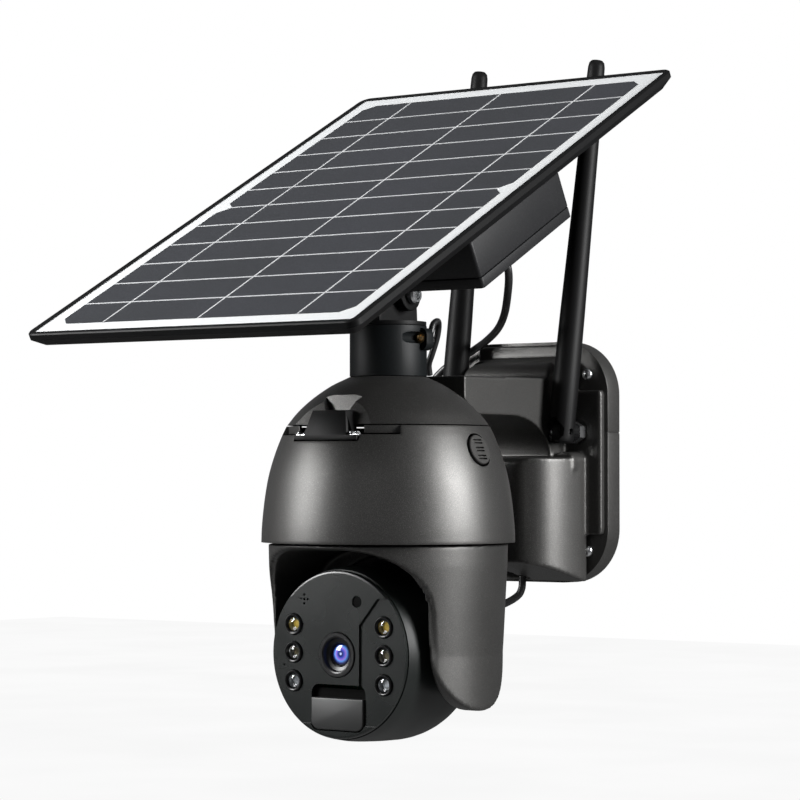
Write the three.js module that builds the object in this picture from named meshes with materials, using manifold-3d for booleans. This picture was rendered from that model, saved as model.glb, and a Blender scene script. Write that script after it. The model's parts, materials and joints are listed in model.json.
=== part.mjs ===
// Solar-powered pan-tilt security camera on a wall plate, in millimetres, +Z up.
// The origin is the centre of the wall plate's back face, the wall is at y = 0,
// and the camera looks along -Y.
import * as THREE from 'three';
import { mergeVertices } from 'three/addons/utils/BufferGeometryUtils.js';
import Module from 'manifold-3d';

const wasm = await Module();
wasm.setup();

// ---------------------------------------------------------------- driving dimensions
const GAP = 0.3;
const WALL = 2.5;

const PLATE = { width: 90, height: 112, thick: 10, corner: 25, edge: 2 };
const SCREW = { x: 33.8, top: 40.5, bottom: -41, head: 2.9, shank: 1.7, length: 9.6 };
const SHOULDER = { thick: 4, inset: 1.5, pocket: 20, top: 33, bottom: -33.5, corner: 7 };

const BATTERY_BOX = { halfWidth: 35.5, front: -46, top: 2, bottom: -46, skirt: -55, round: 19 };
const ARM = { halfWidth: 24, top: 38.5, under: 21, crown: 47, recess: -26 };

const DOME = { y: -118, skirtZ: -35.5, skirtR: 55.8, partZ: 15.2, topZ: 37, neckR: 17 };
const COLLAR = { r: 17, z0: 37.3, z1: 59.3, bore: 14.3, floor: 3 };
const LUG = { x: 15.9, z: 53.4, halfX: 4.5, halfZ: 4.9, corner: 3.4, thick: 5 };
const INSERT = { x: 16.7, z: 54, r: 2.4, bore: 1.3, length: 4.4 };

const POST = { r: 14, flangeR: 16.8, flangeZ: 59.6, flange: 1.7, tongueX: 5.7, tongueY: 13.9 };
const KNUCKLE = { y: -115, z: 73, r: 7, earX0: 6, earX1: 10.5, bolt: 2 };

const PANEL = {
  y: -139, z: 114.9, tilt: THREE.MathUtils.degToRad(27.9),
  halfX: 88, halfY: 132.5, thick: 7, corner: 5, taper: 4,
  sheetX: 85.2, sheetY: 129.7, sheetTop: -0.6, sheetThick: 1.6,
};
const CELL = { width: 156, length: 19.5, pitch: 20.32, count: 12, chamfer: 5, thick: 0.35, ribbon: 52 };
const GLAND = { x: 58, y: 12, stem: 3.2, r: 4.6 };
const BOX = { halfX: 83.5, y0: -42, y1: 32, top: -7.3, bottom: -28, lid: 4.6 };

const YOKE = { r: 52.6, lowR: 50.4, z0: -36.2, openX: 41.8, ceiling: -37.3 };
const BALL = { z: -83.3, r: 39, front: -33.5, wall: 2.4 };
const FACE = { r: 36.2, y: -36.3, thick: 2.4 };
const LED = { x: 24.5, rows: [12.5, 0.4, -12], r: 4.5 };
const LENS = { r: 9.6, glass: 5.6 };
const PIR = { halfX: 14.4, top: -14.5, bottom: -32.5 };

const ANTENNA = { x: 31, y: -27.4, z: 8.8, tipZ: 188, tipY: -5.4, baseR: 6.1, tipR: 3.9 };
const CABLE_R = 1.75;

// ---------------------------------------------------------------- colours
const finish = (color, roughness, metalness = 0) =>
  new THREE.MeshStandardMaterial({ color, roughness, metalness });
const charcoal = finish(0x4a4b4d, 0.42, 0.35);
const blackGloss = finish(0x17191a, 0.25);
const blackSatin = finish(0x141515, 0.5);
const faceBlack = finish(0x242827, 0.35);
const cellBlue = finish(0x3f4248, 0.25, 0.2);
const sheetWhite = finish(0xf1f3f4, 0.4);
const steel = finish(0xb4b6b8, 0.3, 1);
const brass = finish(0xc89a54, 0.3, 1);
const boardGreen = finish(0x1f5a35, 0.5);
const clearLens = finish(0xd8dde0, 0.08);
const lensGlass = finish(0x27305c, 0.05, 0.2);
const cellWrap = finish(0x2f6fb0, 0.4);
const motorCan = finish(0x8f9294, 0.35, 0.9);

// ---------------------------------------------------------------- solids
const place = new THREE.Matrix4();

function solid(geometry) {
  const bare = geometry.clone();
  for (const name of Object.keys(bare.attributes)) {
    if (name !== 'position') bare.deleteAttribute(name);
  }
  const merged = mergeVertices(bare, 1e-4);
  return new wasm.Manifold(new wasm.Mesh({
    numProp: 3,
    vertProperties: Float32Array.from(merged.attributes.position.array),
    triVerts: Uint32Array.from(merged.index.array),
  }));
}

function geometryOf(manifold) {
  const mesh = manifold.getMesh();
  const geometry = new THREE.BufferGeometry();
  geometry.setAttribute('position', new THREE.BufferAttribute(mesh.vertProperties, 3));
  geometry.setIndex(new THREE.BufferAttribute(mesh.triVerts, 1));
  geometry.computeVertexNormals();
  return geometry;
}

// A body of revolution about Z at (x, y), from [radius, z] points.
function turned(points, segments = 24, x = 0, y = 0) {
  const profile = points.map(([r, z]) => new THREE.Vector2(r, z));
  const geometry = new THREE.LatheGeometry(profile, segments);
  geometry.rotateX(Math.PI / 2);
  geometry.translate(x, y, 0);
  return solid(geometry);
}

// A body of revolution about the Y direction, from [radius, y] points, centred on (x, z).
function turnedY(points, segments = 24, x = 0, z = 0) {
  const geometry = new THREE.LatheGeometry(points.map(([r, y]) => new THREE.Vector2(r, y)), segments);
  geometry.translate(x, 0, z);
  return solid(geometry);
}

function box(x0, x1, y0, y1, z0, z1) {
  const geometry = new THREE.BoxGeometry(x1 - x0, y1 - y0, z1 - z0);
  geometry.translate((x0 + x1) / 2, (y0 + y1) / 2, (z0 + z1) / 2);
  return solid(geometry);
}

// A cylinder along the named axis, from a to b, at the two other coordinates in XYZ order.
function rod(axis, r, a, b, u, v, segments = 16) {
  const geometry = new THREE.CylinderGeometry(r, r, Math.abs(b - a), segments);
  const middle = (a + b) / 2;
  if (axis === 'x') geometry.rotateZ(Math.PI / 2).translate(middle, u, v);
  if (axis === 'y') geometry.translate(u, middle, v);
  if (axis === 'z') geometry.rotateX(Math.PI / 2).translate(u, v, middle);
  return solid(geometry);
}

function polygon(points) {
  const shape = new THREE.Shape();
  points.forEach(([x, y], i) => (i ? shape.lineTo(x, y) : shape.moveTo(x, y)));
  shape.closePath();
  return shape;
}

function roundedRect(halfX, halfY, r, cx = 0, cy = 0) {
  const shape = new THREE.Shape();
  shape.absarc(cx + halfX - r, cy + halfY - r, r, 0, Math.PI / 2);
  shape.absarc(cx - halfX + r, cy + halfY - r, r, Math.PI / 2, Math.PI);
  shape.absarc(cx - halfX + r, cy - halfY + r, r, Math.PI, 1.5 * Math.PI);
  shape.absarc(cx + halfX - r, cy - halfY + r, r, 1.5 * Math.PI, 2 * Math.PI);
  shape.closePath();
  return shape;
}

// An XY outline raised from z0 to z1.
function raised(shape, z0, z1, curveSegments = 4) {
  const geometry = new THREE.ExtrudeGeometry(shape, { depth: z1 - z0, bevelEnabled: false, curveSegments });
  geometry.translate(0, 0, z0);
  return solid(geometry);
}

// An XZ outline run along Y, from y0 to y1.
function alongY(shape, y0, y1, curveSegments = 4) {
  const geometry = new THREE.ExtrudeGeometry(shape, { depth: y1 - y0, bevelEnabled: false, curveSegments });
  geometry.rotateX(Math.PI / 2).translate(0, y1, 0);
  return solid(geometry);
}

// A YZ outline run along X, from x0 to x1.
function alongX(shape, x0, x1, curveSegments = 4) {
  const geometry = new THREE.ExtrudeGeometry(shape, { depth: x1 - x0, bevelEnabled: false, curveSegments });
  geometry.rotateX(Math.PI / 2).rotateZ(Math.PI / 2).translate(x0, 0, 0);
  return solid(geometry);
}

function tube(points, r, steps, sides = 8) {
  const path = new THREE.CatmullRomCurve3(points.map(p => new THREE.Vector3(...p)), false, 'centripetal');
  const section = new THREE.Shape();
  section.absarc(0, 0, r, 0, 2 * Math.PI);
  return solid(new THREE.ExtrudeGeometry(section, {
    steps, curveSegments: sides / 2, bevelEnabled: false, extrudePath: path,
  }));
}

const union = parts => parts.reduce((sum, part) => sum.add(part));
const mirrored = (make) => [make(1), make(-1)];

const model = new THREE.Group();

function add(parent, name, manifold, material) {
  const mesh = new THREE.Mesh(geometryOf(manifold), material);
  mesh.name = name;
  parent.add(mesh);
  return mesh;
}

// ---------------------------------------------------------------- wall plate and shoulder
const screwSpots = [1, -1].flatMap(side => [SCREW.top, SCREW.bottom].map(z => [side * SCREW.x, z]));

function wallPlate() {
  const { width, height, thick, corner, edge } = PLATE;
  const body = alongY(roundedRect(width / 2, height / 2, corner), -thick + edge, 0);
  const lip = alongY(roundedRect(width / 2 - 1, height / 2 - 1, corner - 1), -thick, -thick + edge);
  const holes = union(screwSpots.map(([x, z]) => rod('y', SCREW.shank + GAP, -thick - 1, 1, x, z, 12)));
  return body.add(lip).subtract(holes);
}

// The thick middle of the housing base, with a pocket left open at each screw.
function shoulder() {
  const { thick, inset, pocket, top, bottom, corner } = SHOULDER;
  const outline = roundedRect(PLATE.width / 2 - inset, PLATE.height / 2 - inset, PLATE.corner - inset);
  const slab = alongY(outline, -PLATE.thick - thick, -PLATE.thick - GAP);
  const inner = PLATE.width / 2 - pocket;
  const pockets = union([1, -1].flatMap(side => [
    alongY(roundedRect(pocket, 30, corner, side * (inner + pocket), top + 30), -20, -5),
    alongY(roundedRect(pocket, 30, corner, side * (inner + pocket), bottom - 30), -20, -5),
  ]));
  return slab.subtract(pockets);
}

// ---------------------------------------------------------------- housing with its arm
function boxOutline(halfWidth, front, round) {
  const back = -PLATE.thick - SHOULDER.thick + 1;
  const shape = new THREE.Shape();
  shape.moveTo(halfWidth, back);
  shape.lineTo(halfWidth, back - 4);
  shape.quadraticCurveTo(halfWidth - 2, front, halfWidth - round, front);
  shape.lineTo(-halfWidth + round, front);
  shape.quadraticCurveTo(-halfWidth + 2, front, -halfWidth, back - 4);
  shape.lineTo(-halfWidth, back);
  shape.closePath();
  return shape;
}

function boxSide(grow) {
  const { front, top, bottom, skirt } = BATTERY_BOX;
  return polygon([
    [-12 - grow, top - grow], [front + 2 + grow, top - grow], [front + grow, top - 2 - grow],
    [front + grow, bottom + grow], [-16, skirt + grow], [-12 - grow, skirt + grow],
  ]);
}

function batteryBox() {
  const { halfWidth, front, round } = BATTERY_BOX;
  const outer = raised(boxOutline(halfWidth, front, round), -60, 10, 10)
    .intersect(alongX(boxSide(0), -60, 60));
  const inner = raised(boxOutline(halfWidth - WALL, front + WALL, round - WALL), -60, 10, 10)
    .intersect(alongX(boxSide(WALL), -60, 60));
  return [outer, inner];
}

function armOutline() {
  const { top, under, crown, recess } = ARM;
  const shape = new THREE.Shape();
  shape.moveTo(-13, 0);
  shape.lineTo(-13, crown - 4);
  shape.quadraticCurveTo(-14, crown, -18, crown);
  shape.lineTo(-22, crown - 1);
  shape.quadraticCurveTo(-27, crown - 2, -28, top);
  shape.lineTo(DOME.y + 24, top - 0.5);
  shape.lineTo(DOME.y + 24, under);
  shape.lineTo(-62, under);
  shape.quadraticCurveTo(-40, under, -31, 12);
  shape.quadraticCurveTo(recess, 8, recess, 0);
  shape.closePath();
  return shape;
}

function housing() {
  const [outer, inner] = batteryBox();
  const arm = alongX(armOutline(), -ARM.halfWidth, ARM.halfWidth, 8);
  const duct = box(-14, 14, -110, -16, ARM.under + WALL + 1, ARM.top - WALL - 1)
    .add(box(-14, 14, -24, -5, -20, ARM.top - WALL - 1));
  const domeSpace = turned([
    [0, -60], [DOME.skirtR + GAP, -60], [DOME.skirtR + GAP, DOME.skirtZ],
    ...domeProfile(GAP), [0, DOME.topZ + GAP],
  ], 36, 0, DOME.y);
  const neckSpace = rod('z', COLLAR.r + GAP, 30, 60, 0, DOME.y, 32);
  const collets = union(mirrored(side =>
    rod('y', 4.4, -20, -5, side * ANTENNA.x, ANTENNA.z + 5, 16)));
  const backOpen = union([
    box(-30, 30, -20, -5, -36, -3),
    box(-22, 22, -20, -5, -46, -30),
  ]);
  const cableHole = rod('z', CABLE_R + 0.6, -60, -48, 4, -20, 12);
  return shoulder().add(outer).add(arm)
    .subtract(inner).subtract(backOpen).subtract(duct)
    .subtract(domeSpace).subtract(neckSpace).subtract(collets).subtract(cableHole);
}

// ---------------------------------------------------------------- dome
// Outer dome profile from the skirt up to the neck, as [radius, z].
function domeProfile(grow = 0) {
  return [
    [55.8, -35.5], [55.5, -28], [54.4, -17.2], [52.7, -7], [50.2, 2], [47.2, 10], [44.8, 15.2],
    [40.2, 21], [35, 26], [29.5, 30.2], [24.5, 33.4], [20, 35.6], [17, 37],
  ].map(([r, z]) => [r + grow, z + grow * 0.5]);
}

function domeShell() {
  const outer = domeProfile().filter(([, z]) => z <= DOME.partZ);
  const inner = outer.filter((_, i) => i % 2 === 0).map(([r, z]) => [r - WALL, z]).reverse();
  const rim = turned([[outer[0][0], outer[0][1]], ...outer.slice(1), ...inner, outer[0]], 36, 0, DOME.y);
  const hatchSeat = box(-18.6, 18.6, DOME.y - 60, DOME.y - 37.5, 7.5, 20);
  const speakerSeat = rod('x', 9.3, 35, 60, DOME.y, 3, 20);
  return rim.subtract(hatchSeat).subtract(speakerSeat);
}

function domeCap() {
  const z = DOME.partZ + GAP;
  const outer = domeProfile().filter(point => point[1] > DOME.partZ + 1);
  const inner = outer.filter((_, i) => i % 2 === 1).map(([r, h]) => [r - WALL, h - WALL]).reverse()
    .filter(([, h]) => h > z + 1);
  const cap = turned([
    [44.6, z], ...outer, [9, DOME.topZ], [9, DOME.topZ - WALL], ...inner, [44.6 - WALL, z], [44.6, z],
  ], 36, 0, DOME.y);
  const notch = box(-18, 18, DOME.y - 60, DOME.y - 32.5, 8, 23.5);
  const hole = box(-10, 10, DOME.y + 30, DOME.y + 60, 22, 34);
  return cap.subtract(notch).subtract(hole);
}

// Flap over the card tray, with side gussets and a hinge pin along its lower edge.
const HATCH = { pinY: DOME.y - 42.6, pinZ: 11.2, halfBottom: 17, halfTop: 10, top: 21.8 };

function hatchCover() {
  const { pinY, pinZ, halfBottom, halfTop, top } = HATCH;
  const side = polygon([
    [pinY - 2.6, pinZ - 2.2], [pinY + 2, pinZ - 2.2], [pinY + 4.2, pinZ + 4],
    [pinY + 9, top - 1], [pinY + 6.6, top], [pinY - 0.5, top], [pinY - 2.6, pinZ + 3],
  ]);
  const front = new THREE.Shape();
  front.moveTo(-halfBottom, pinZ - 3);
  front.lineTo(halfBottom, pinZ - 3);
  front.lineTo(halfBottom, pinZ + 2);
  front.lineTo(halfTop, top + 1);
  front.lineTo(-halfTop, top + 1);
  front.lineTo(-halfBottom, pinZ + 2);
  front.closePath();
  return alongX(side, -halfBottom, halfBottom).intersect(alongY(front, pinY - 10, pinY + 14))
    .subtract(rod('x', 0.9 + GAP, -30, 30, pinY, pinZ, 10));
}

// ---------------------------------------------------------------- neck and swivel
function collar() {
  const { r, z0, z1, bore, floor } = COLLAR;
  const ring = turned([
    [0, z0], [r, z0], [r, z1], [bore, z1], [bore, z0 + floor], [0, z0 + floor],
  ], 36, 0, DOME.y);
  const lugShape = roundedRect(LUG.halfX, LUG.halfZ, LUG.corner, LUG.x, LUG.z);
  const lug = alongY(lugShape, DOME.y + 1, DOME.y + 1 + LUG.thick);
  const room = rod('z', bore, z0 + floor, z1 + 5, 0, DOME.y, 28);
  const insertHole = rod('y', INSERT.r + GAP, DOME.y - 9, DOME.y + 12, INSERT.x, INSERT.z, 16);
  return ring.add(lug).subtract(room).subtract(insertHole).subtract(rod('z', 3, 30, 45, 0, DOME.y, 16));
}

function brassInsert() {
  const { x, z, r, bore, length } = INSERT;
  return turnedY([[r, 0.2], [r, length + 0.2], [bore, length + 0.2], [bore, 0.2], [r, 0.2]], 20, x, z)
    .translate(0, DOME.y + 1, 0);
}

function swivelPost() {
  const { r, flangeR, flangeZ, flange, tongueX, tongueY } = POST;
  const stem = rod('z', r - GAP, COLLAR.z0 + COLLAR.floor + GAP, flangeZ + 0.5, 0, DOME.y, 28);
  const disc = rod('z', flangeR, flangeZ, flangeZ + flange, 0, DOME.y, 28);
  const side = new THREE.Shape();
  side.moveTo(DOME.y - tongueY, flangeZ + 1);
  side.lineTo(DOME.y + tongueY, flangeZ + 1);
  side.lineTo(DOME.y + tongueY - 0.8, KNUCKLE.z);
  side.absarc(KNUCKLE.y, KNUCKLE.z, 9.5, 0, Math.PI, false);
  side.lineTo(DOME.y - tongueY, flangeZ + 8);
  side.closePath();
  const tongue = alongX(side, -tongueX, tongueX);
  const bore = rod('x', KNUCKLE.bolt + GAP, -20, 20, KNUCKLE.y, KNUCKLE.z, 16);
  return stem.add(disc).add(tongue).subtract(bore);
}

// ---------------------------------------------------------------- panel
const panel = new THREE.Group();
panel.position.set(0, PANEL.y, PANEL.z);
panel.rotation.x = PANEL.tilt;

// The knuckle's place in the panel's own axes.
const knuckleInPanel = (() => {
  const dy = KNUCKLE.y - PANEL.y;
  const dz = KNUCKLE.z - PANEL.z;
  return {
    y: dy * Math.cos(PANEL.tilt) + dz * Math.sin(PANEL.tilt),
    z: -dy * Math.sin(PANEL.tilt) + dz * Math.cos(PANEL.tilt),
  };
})();

function panelFrame() {
  const { halfX, halfY, thick, corner, taper, sheetX, sheetY, sheetTop, sheetThick } = PANEL;
  const upper = raised(roundedRect(halfX, halfY, corner), -3, 0);
  const lower = raised(roundedRect(halfX - taper, halfY - taper, corner), -thick, -3);
  const tray = raised(roundedRect(sheetX + GAP, sheetY + GAP, 1.5), sheetTop - sheetThick - GAP, 1);
  return upper.add(lower).subtract(tray);
}

function backsheet() {
  const { sheetX, sheetY, sheetTop, sheetThick } = PANEL;
  return raised(roundedRect(sheetX, sheetY, 1.2), sheetTop - sheetThick, sheetTop - CELL.thick - 0.3);
}

// Half of the cells, soldered into one string by three ribbons under them. The corners at both
// ends of a string are clipped.
function cellString(side) {
  const x = CELL.width / 2;
  const y = CELL.length / 2;
  const perString = CELL.count / 2;
  const top = PANEL.sheetTop;
  const middle = side * perString * CELL.pitch / 2;
  const cells = Array.from({ length: perString }, (_, i) => {
    const cy = middle + (i - (perString - 1) / 2) * CELL.pitch;
    const low = i === 0 ? CELL.chamfer : 0.2;
    const high = i === perString - 1 ? CELL.chamfer : 0.2;
    return raised(polygon([
      [-x, cy - y + low], [-x + low, cy - y], [x - low, cy - y], [x, cy - y + low],
      [x, cy + y - high], [x - high, cy + y], [-x + high, cy + y], [-x, cy + y - high],
    ]), top - CELL.thick, top);
  });
  const reach = (perString * CELL.pitch - 1) / 2 - 0.4;
  const ribbons = [-CELL.ribbon, 0, CELL.ribbon].map(at =>
    box(at - 0.7, at + 0.7, middle - reach, middle + reach, top - CELL.thick, top - 0.1));
  return union([...cells, ...ribbons]);
}

function panelBox() {
  const { halfX, y0, y1, top, bottom, lid } = BOX;
  const cy = (y0 + y1) / 2;
  const hy = (y1 - y0) / 2;
  const shell = raised(roundedRect(halfX, hy, 1.5, 0, cy), bottom + lid + GAP, top, 3);
  const room = raised(roundedRect(halfX - WALL, hy - WALL, 1, 0, cy), bottom - 1, top - WALL, 3);
  return shell.subtract(room);
}

function panelBoxLid() {
  const { halfX, y0, y1, bottom, lid } = BOX;
  const cy = (y0 + y1) / 2;
  const hy = (y1 - y0) / 2;
  const plate = raised(roundedRect(halfX, hy, 1.5, 0, cy), bottom, bottom + lid, 3);
  const room = raised(roundedRect(halfX - WALL, hy - WALL, 1, 0, cy), bottom + WALL, bottom + lid + 1, 3);
  const leadHole = rod('z', GLAND.stem + GAP, bottom - 1, bottom + 9, GLAND.x, GLAND.y, 16);
  return plate.subtract(room).subtract(leadHole);
}

function panelGland() {
  const { bottom } = BOX;
  const bore = CABLE_R + 0.2;
  return turned([
    [bore, bottom - 6], [3, bottom - 6], [GLAND.r, bottom - 3], [GLAND.r, bottom - GAP],
    [GLAND.stem, bottom - GAP], [GLAND.stem, bottom + 4], [bore, bottom + 4], [bore, bottom - 6],
  ], 16, GLAND.x, GLAND.y);
}

// Foot plate and two ears that hold the panel box on the knuckle.
function panelBracket() {
  const { earX0, earX1, r, bolt } = KNUCKLE;
  const k = knuckleInPanel;
  const topZ = BOX.bottom - GAP;
  const foot = raised(roundedRect(24, 15, 3, 0, k.y), topZ - 3, topZ, 4);
  const ears = mirrored(side => {
    const outline = new THREE.Shape();
    outline.moveTo(k.y - r - 4, topZ - 2);
    outline.lineTo(k.y - r, k.z);
    outline.absarc(k.y, k.z, r, Math.PI, 2 * Math.PI, false);
    outline.lineTo(k.y + r + 4, topZ - 2);
    outline.closePath();
    const [a, b] = side > 0 ? [earX0, earX1] : [-earX1, -earX0];
    return alongX(outline, a, b);
  });
  return foot.add(union(ears)).subtract(rod('x', bolt + GAP, -30, 30, k.y, k.z, 16));
}

function tiltBolt() {
  const k = knuckleInPanel;
  const head = rod('x', 3.9, KNUCKLE.earX1 + GAP, KNUCKLE.earX1 + 3.3, k.y, k.z, 6);
  const shank = rod('x', KNUCKLE.bolt, -KNUCKLE.earX1 - 4, KNUCKLE.earX1 + 1, k.y, k.z, 16);
  return head.add(shank);
}

function tiltNut() {
  const k = knuckleInPanel;
  return rod('x', 3.9, -KNUCKLE.earX1 - 3.3, -KNUCKLE.earX1 - GAP, k.y, k.z, 6)
    .subtract(rod('x', KNUCKLE.bolt + GAP, -20, 0, k.y, k.z, 16));
}

// ---------------------------------------------------------------- yoke, turned by the pan motor
function yoke() {
  const { r, lowR, z0, openX, ceiling } = YOKE;
  const drum = turned([
    [0, z0 - 90], [lowR, z0 - 90], [lowR, BALL.z], [r - 0.6, -52], [r, z0 - 2], [r, z0], [0, z0],
  ], 36, 0, DOME.y);
  const side = new THREE.Shape();
  side.moveTo(-60 + DOME.y, z0 + 1);
  side.lineTo(60 + DOME.y, z0 + 1);
  side.lineTo(60 + DOME.y, BALL.z + 22);
  side.quadraticCurveTo(32 + DOME.y, BALL.z + 14, 31 + DOME.y, BALL.z + 4);
  side.absarc(DOME.y + 1, BALL.z + 4, 30, 0, -Math.PI, true);
  side.lineTo(DOME.y - 29, BALL.z + 8);
  side.quadraticCurveTo(DOME.y - 31, BALL.z + 20, DOME.y - 60, BALL.z + 30);
  side.closePath();
  const arms = drum.intersect(alongX(side, -60, 60, 10));
  const arch = new THREE.Shape();
  arch.moveTo(-openX, -140);
  arch.lineTo(openX, -140);
  arch.lineTo(openX, -64);
  arch.quadraticCurveTo(openX, ceiling, 12, ceiling - 1);
  arch.lineTo(-12, ceiling - 1);
  arch.quadraticCurveTo(-openX, ceiling, -openX, -64);
  arch.closePath();
  const mouth = alongY(arch, DOME.y - 60, DOME.y, 10);
  const backRoom = rod('x', 42.3, -openX, openX, DOME.y, BALL.z, 32)
    .add(box(-openX, openX, DOME.y, DOME.y + 70, -140, BALL.z + 2));
  const trunk = rod('z', 9, z0 - 1, -20, 0, DOME.y, 24);
  const trunnions = union(mirrored(s => rod('x', 4 + GAP, s * 41, s * 47, DOME.y, BALL.z, 16)));
  const bore = rod('z', 5, -60, 0, 0, DOME.y, 16);
  return arms.subtract(mouth).subtract(backRoom).add(trunk).subtract(trunnions).subtract(bore);
}

// ---------------------------------------------------------------- tilting camera head
function ballShell() {
  const { z, r, front, wall } = BALL;
  const arc = (radius, steps) => Array.from({ length: steps + 1 }, (_, i) => {
    const a = (Math.PI / 2) * (i / steps);
    return [radius * Math.cos(a), radius * Math.sin(a)];
  });
  const outer = arc(r, 7);
  const inner = arc(r - wall, 4).reverse();
  const rim = 36.9;
  const profile = [[rim, front], [38.2, front + 12], ...outer, ...inner, [rim - wall, front], [rim, front]];
  const shell = turnedY(profile, 32, 0, z).translate(0, DOME.y, 0);
  const axleHoles = rod('x', 3 + GAP, -60, 60, DOME.y, z, 16);
  return shell.subtract(axleHoles);
}

// A stub axle on which the head tilts, one on each side.
function axle(side) {
  return rod('x', 3, side * 33, side * 46, DOME.y, BALL.z, 16)
    .add(rod('x', 5, side * 33, side * 34.8, DOME.y, BALL.z, 12));
}

function facePlate() {
  const { r, y, thick } = FACE;
  const disc = turnedY([[0, y], [r - 0.9, y], [r, y + 0.9], [r, y + thick], [0, y + thick]], 32, 0, BALL.z);
  const pockets = union(mirrored(side => alongY(polygon([
    [side * 13, -19], [side * 13, 12], [side * 22, 24], [side * 40, 24], [side * 40, -19],
  ].map(([x, h]) => [x, h + BALL.z])), y - 1, y + 0.9)));
  const ledHoles = union([1, -1].flatMap(side => LED.rows.map(h =>
    rod('y', LED.r + GAP, y - 1, y + 5, side * LED.x, BALL.z + h, 12))));
  const micHoles = union([[0, 0], [1.9, 0], [-1.9, 0], [0, 2], [0, -2]].map(([dx, dz]) =>
    rod('y', 0.5, y - 1, y + 5, -18.2 + dx, BALL.z + 23.5 + dz, 8)));
  return disc.subtract(pockets).subtract(ledHoles).subtract(micHoles)
    .subtract(rod('y', LENS.r + GAP, y - 1, y + 5, 0, BALL.z, 24))
    .subtract(rod('y', 2.3 + GAP, y - 1, y + 5, 10.6, BALL.z + 23, 16))
    .subtract(box(
      -PIR.halfX - GAP, PIR.halfX + GAP, y - 1, y + 5, BALL.z + PIR.bottom - GAP, BALL.z + PIR.top + GAP))
    .translate(0, DOME.y, 0);
}

function lensBarrel() {
  const y = FACE.y;
  const bore = LENS.glass + GAP;
  return turnedY([
    [bore, y + 1.6], [LENS.r - 1.6, y - 0.6], [LENS.r, y - 0.6], [LENS.r, y + 12], [0, y + 12], [0, y + 6],
    [bore, y + 6], [bore, y + 1.6],
  ], 24, 0, BALL.z).translate(0, DOME.y, 0);
}

function lensGlassDisc() {
  const y = FACE.y + 2.4;
  const r = LENS.glass;
  const profile = [[0, y - 0.9], [2.6, y - 0.7], [4.6, y], [r, y + 0.9], [r, y + 3], [0, y + 3]];
  return turnedY(profile, 24, 0, BALL.z).translate(0, DOME.y, 0);
}

function ledLens(side, height) {
  const y = FACE.y + 0.9;
  return turnedY([
    [0, y - 1.1], [1.8, y - 1], [3.2, y - 0.4], [3.7, y + 0.4], [LED.r, y + 0.4],
    [LED.r, y + 6.4], [0, y + 6.4],
  ], 10, side * LED.x, BALL.z + height).translate(0, DOME.y, 0);
}

function pirCover() {
  const { halfX, top, bottom } = PIR;
  const y = FACE.y;
  const outline = new THREE.Shape();
  outline.moveTo(-halfX, top);
  outline.lineTo(-halfX, bottom + 4);
  outline.quadraticCurveTo(-halfX, bottom, -halfX + 4, bottom);
  outline.lineTo(halfX - 4, bottom);
  outline.quadraticCurveTo(halfX, bottom, halfX, bottom + 4);
  outline.lineTo(halfX, top);
  outline.closePath();
  const plug = alongY(outline, y - 0.4, y + 4, 4).translate(0, DOME.y, BALL.z);
  const scoop = rod('x', 9, -halfX - 1, halfX + 1, DOME.y + y - 5.6, BALL.z + top + 1.5, 24);
  return plug.subtract(scoop);
}

// ---------------------------------------------------------------- antennas
function antennaSocket(side) {
  const x = side * ANTENNA.x;
  const z = ANTENNA.z + 5;
  return rod('y', 3, -21.8, -PLATE.thick - 0.4, x, z, 16).add(rod('y', 5.2, -18.9, -14.4, x, z, 6));
}

// The elbow turns on its socket and carries the fold pin.
function antennaElbow(side) {
  const x = side * ANTENNA.x;
  const z = ANTENNA.z + 5;
  const socketBore = rod('y', 3 + GAP, -22.3, -10, x, z, 16);
  const nut = rod('y', 4.9, ANTENNA.y + 2.5, -19.3, x, z, 16).subtract(socketBore);
  const tongue = alongX(roundedRect(4.2, 4.6, 4, ANTENNA.y - 0.6, z), x - 2.2, x + 2.2);
  return nut.add(tongue).subtract(rod('x', 1.2 + GAP, x - 20, x + 20, ANTENNA.y - 1.4, z, 12));
}

const LEAN = { right: 7, left: 2.2 };

function antennaRod(side) {
  const x = side * ANTENNA.x;
  const hinge = ANTENNA.z + 5;
  const length = ANTENNA.tipZ - ANTENNA.z;
  const profile = [
    [0, 0.2], [4.6, 0.2], [ANTENNA.baseR, 2], [ANTENNA.baseR, 32], [4.9, 110],
    [ANTENNA.tipR + 0.3, length - 16], [ANTENNA.tipR, length - 4], [ANTENNA.tipR - 1, length - 0.8],
    [0, length],
  ];
  const body = turned(profile, 20);
  const fork = box(-2.7, 2.7, -20, 20, -5, 11.5);
  const frontClear = rod('y', 5.7, 2.6, 12, 0, 5, 12);
  const lean = side > 0 ? LEAN.right : LEAN.left;
  const tiltX = Math.atan2(ANTENNA.tipY - ANTENNA.y, length);
  const tiltY = Math.atan2(lean, length);
  place.makeRotationFromEuler(new THREE.Euler(-tiltX, tiltY, 0));
  place.setPosition(x, ANTENNA.y - 1.4, ANTENNA.z);
  return body.subtract(fork).subtract(frontClear).transform(place.elements)
    .subtract(rod('x', 1.2 + GAP, x - 20, x + 20, ANTENNA.y - 1.4, hinge, 12));
}

function antennaPin(side) {
  const x = side * ANTENNA.x;
  return rod('x', 1.2, x - 4.8, x + 4.8, ANTENNA.y - 1.4, ANTENNA.z + 5, 12);
}

// ---------------------------------------------------------------- inside pieces
function wallScrew(x, z) {
  const { head, shank, length } = SCREW;
  const face = -PLATE.thick - GAP;
  return turnedY([
    [0, face - 2.1], [1.6, face - 1.8], [2.5, face - 1], [head, face], [shank, face],
    [shank, face + length - 3], [0, face + length],
  ], 10, x, z);
}

// A cell of 18 x 50 mm, with its terminal.
function batteryCell(z) {
  return rod('x', 9, -25, 24, -27.7, z, 20).add(rod('x', 3, 23, 25, -27.7, z, 8));
}

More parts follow.
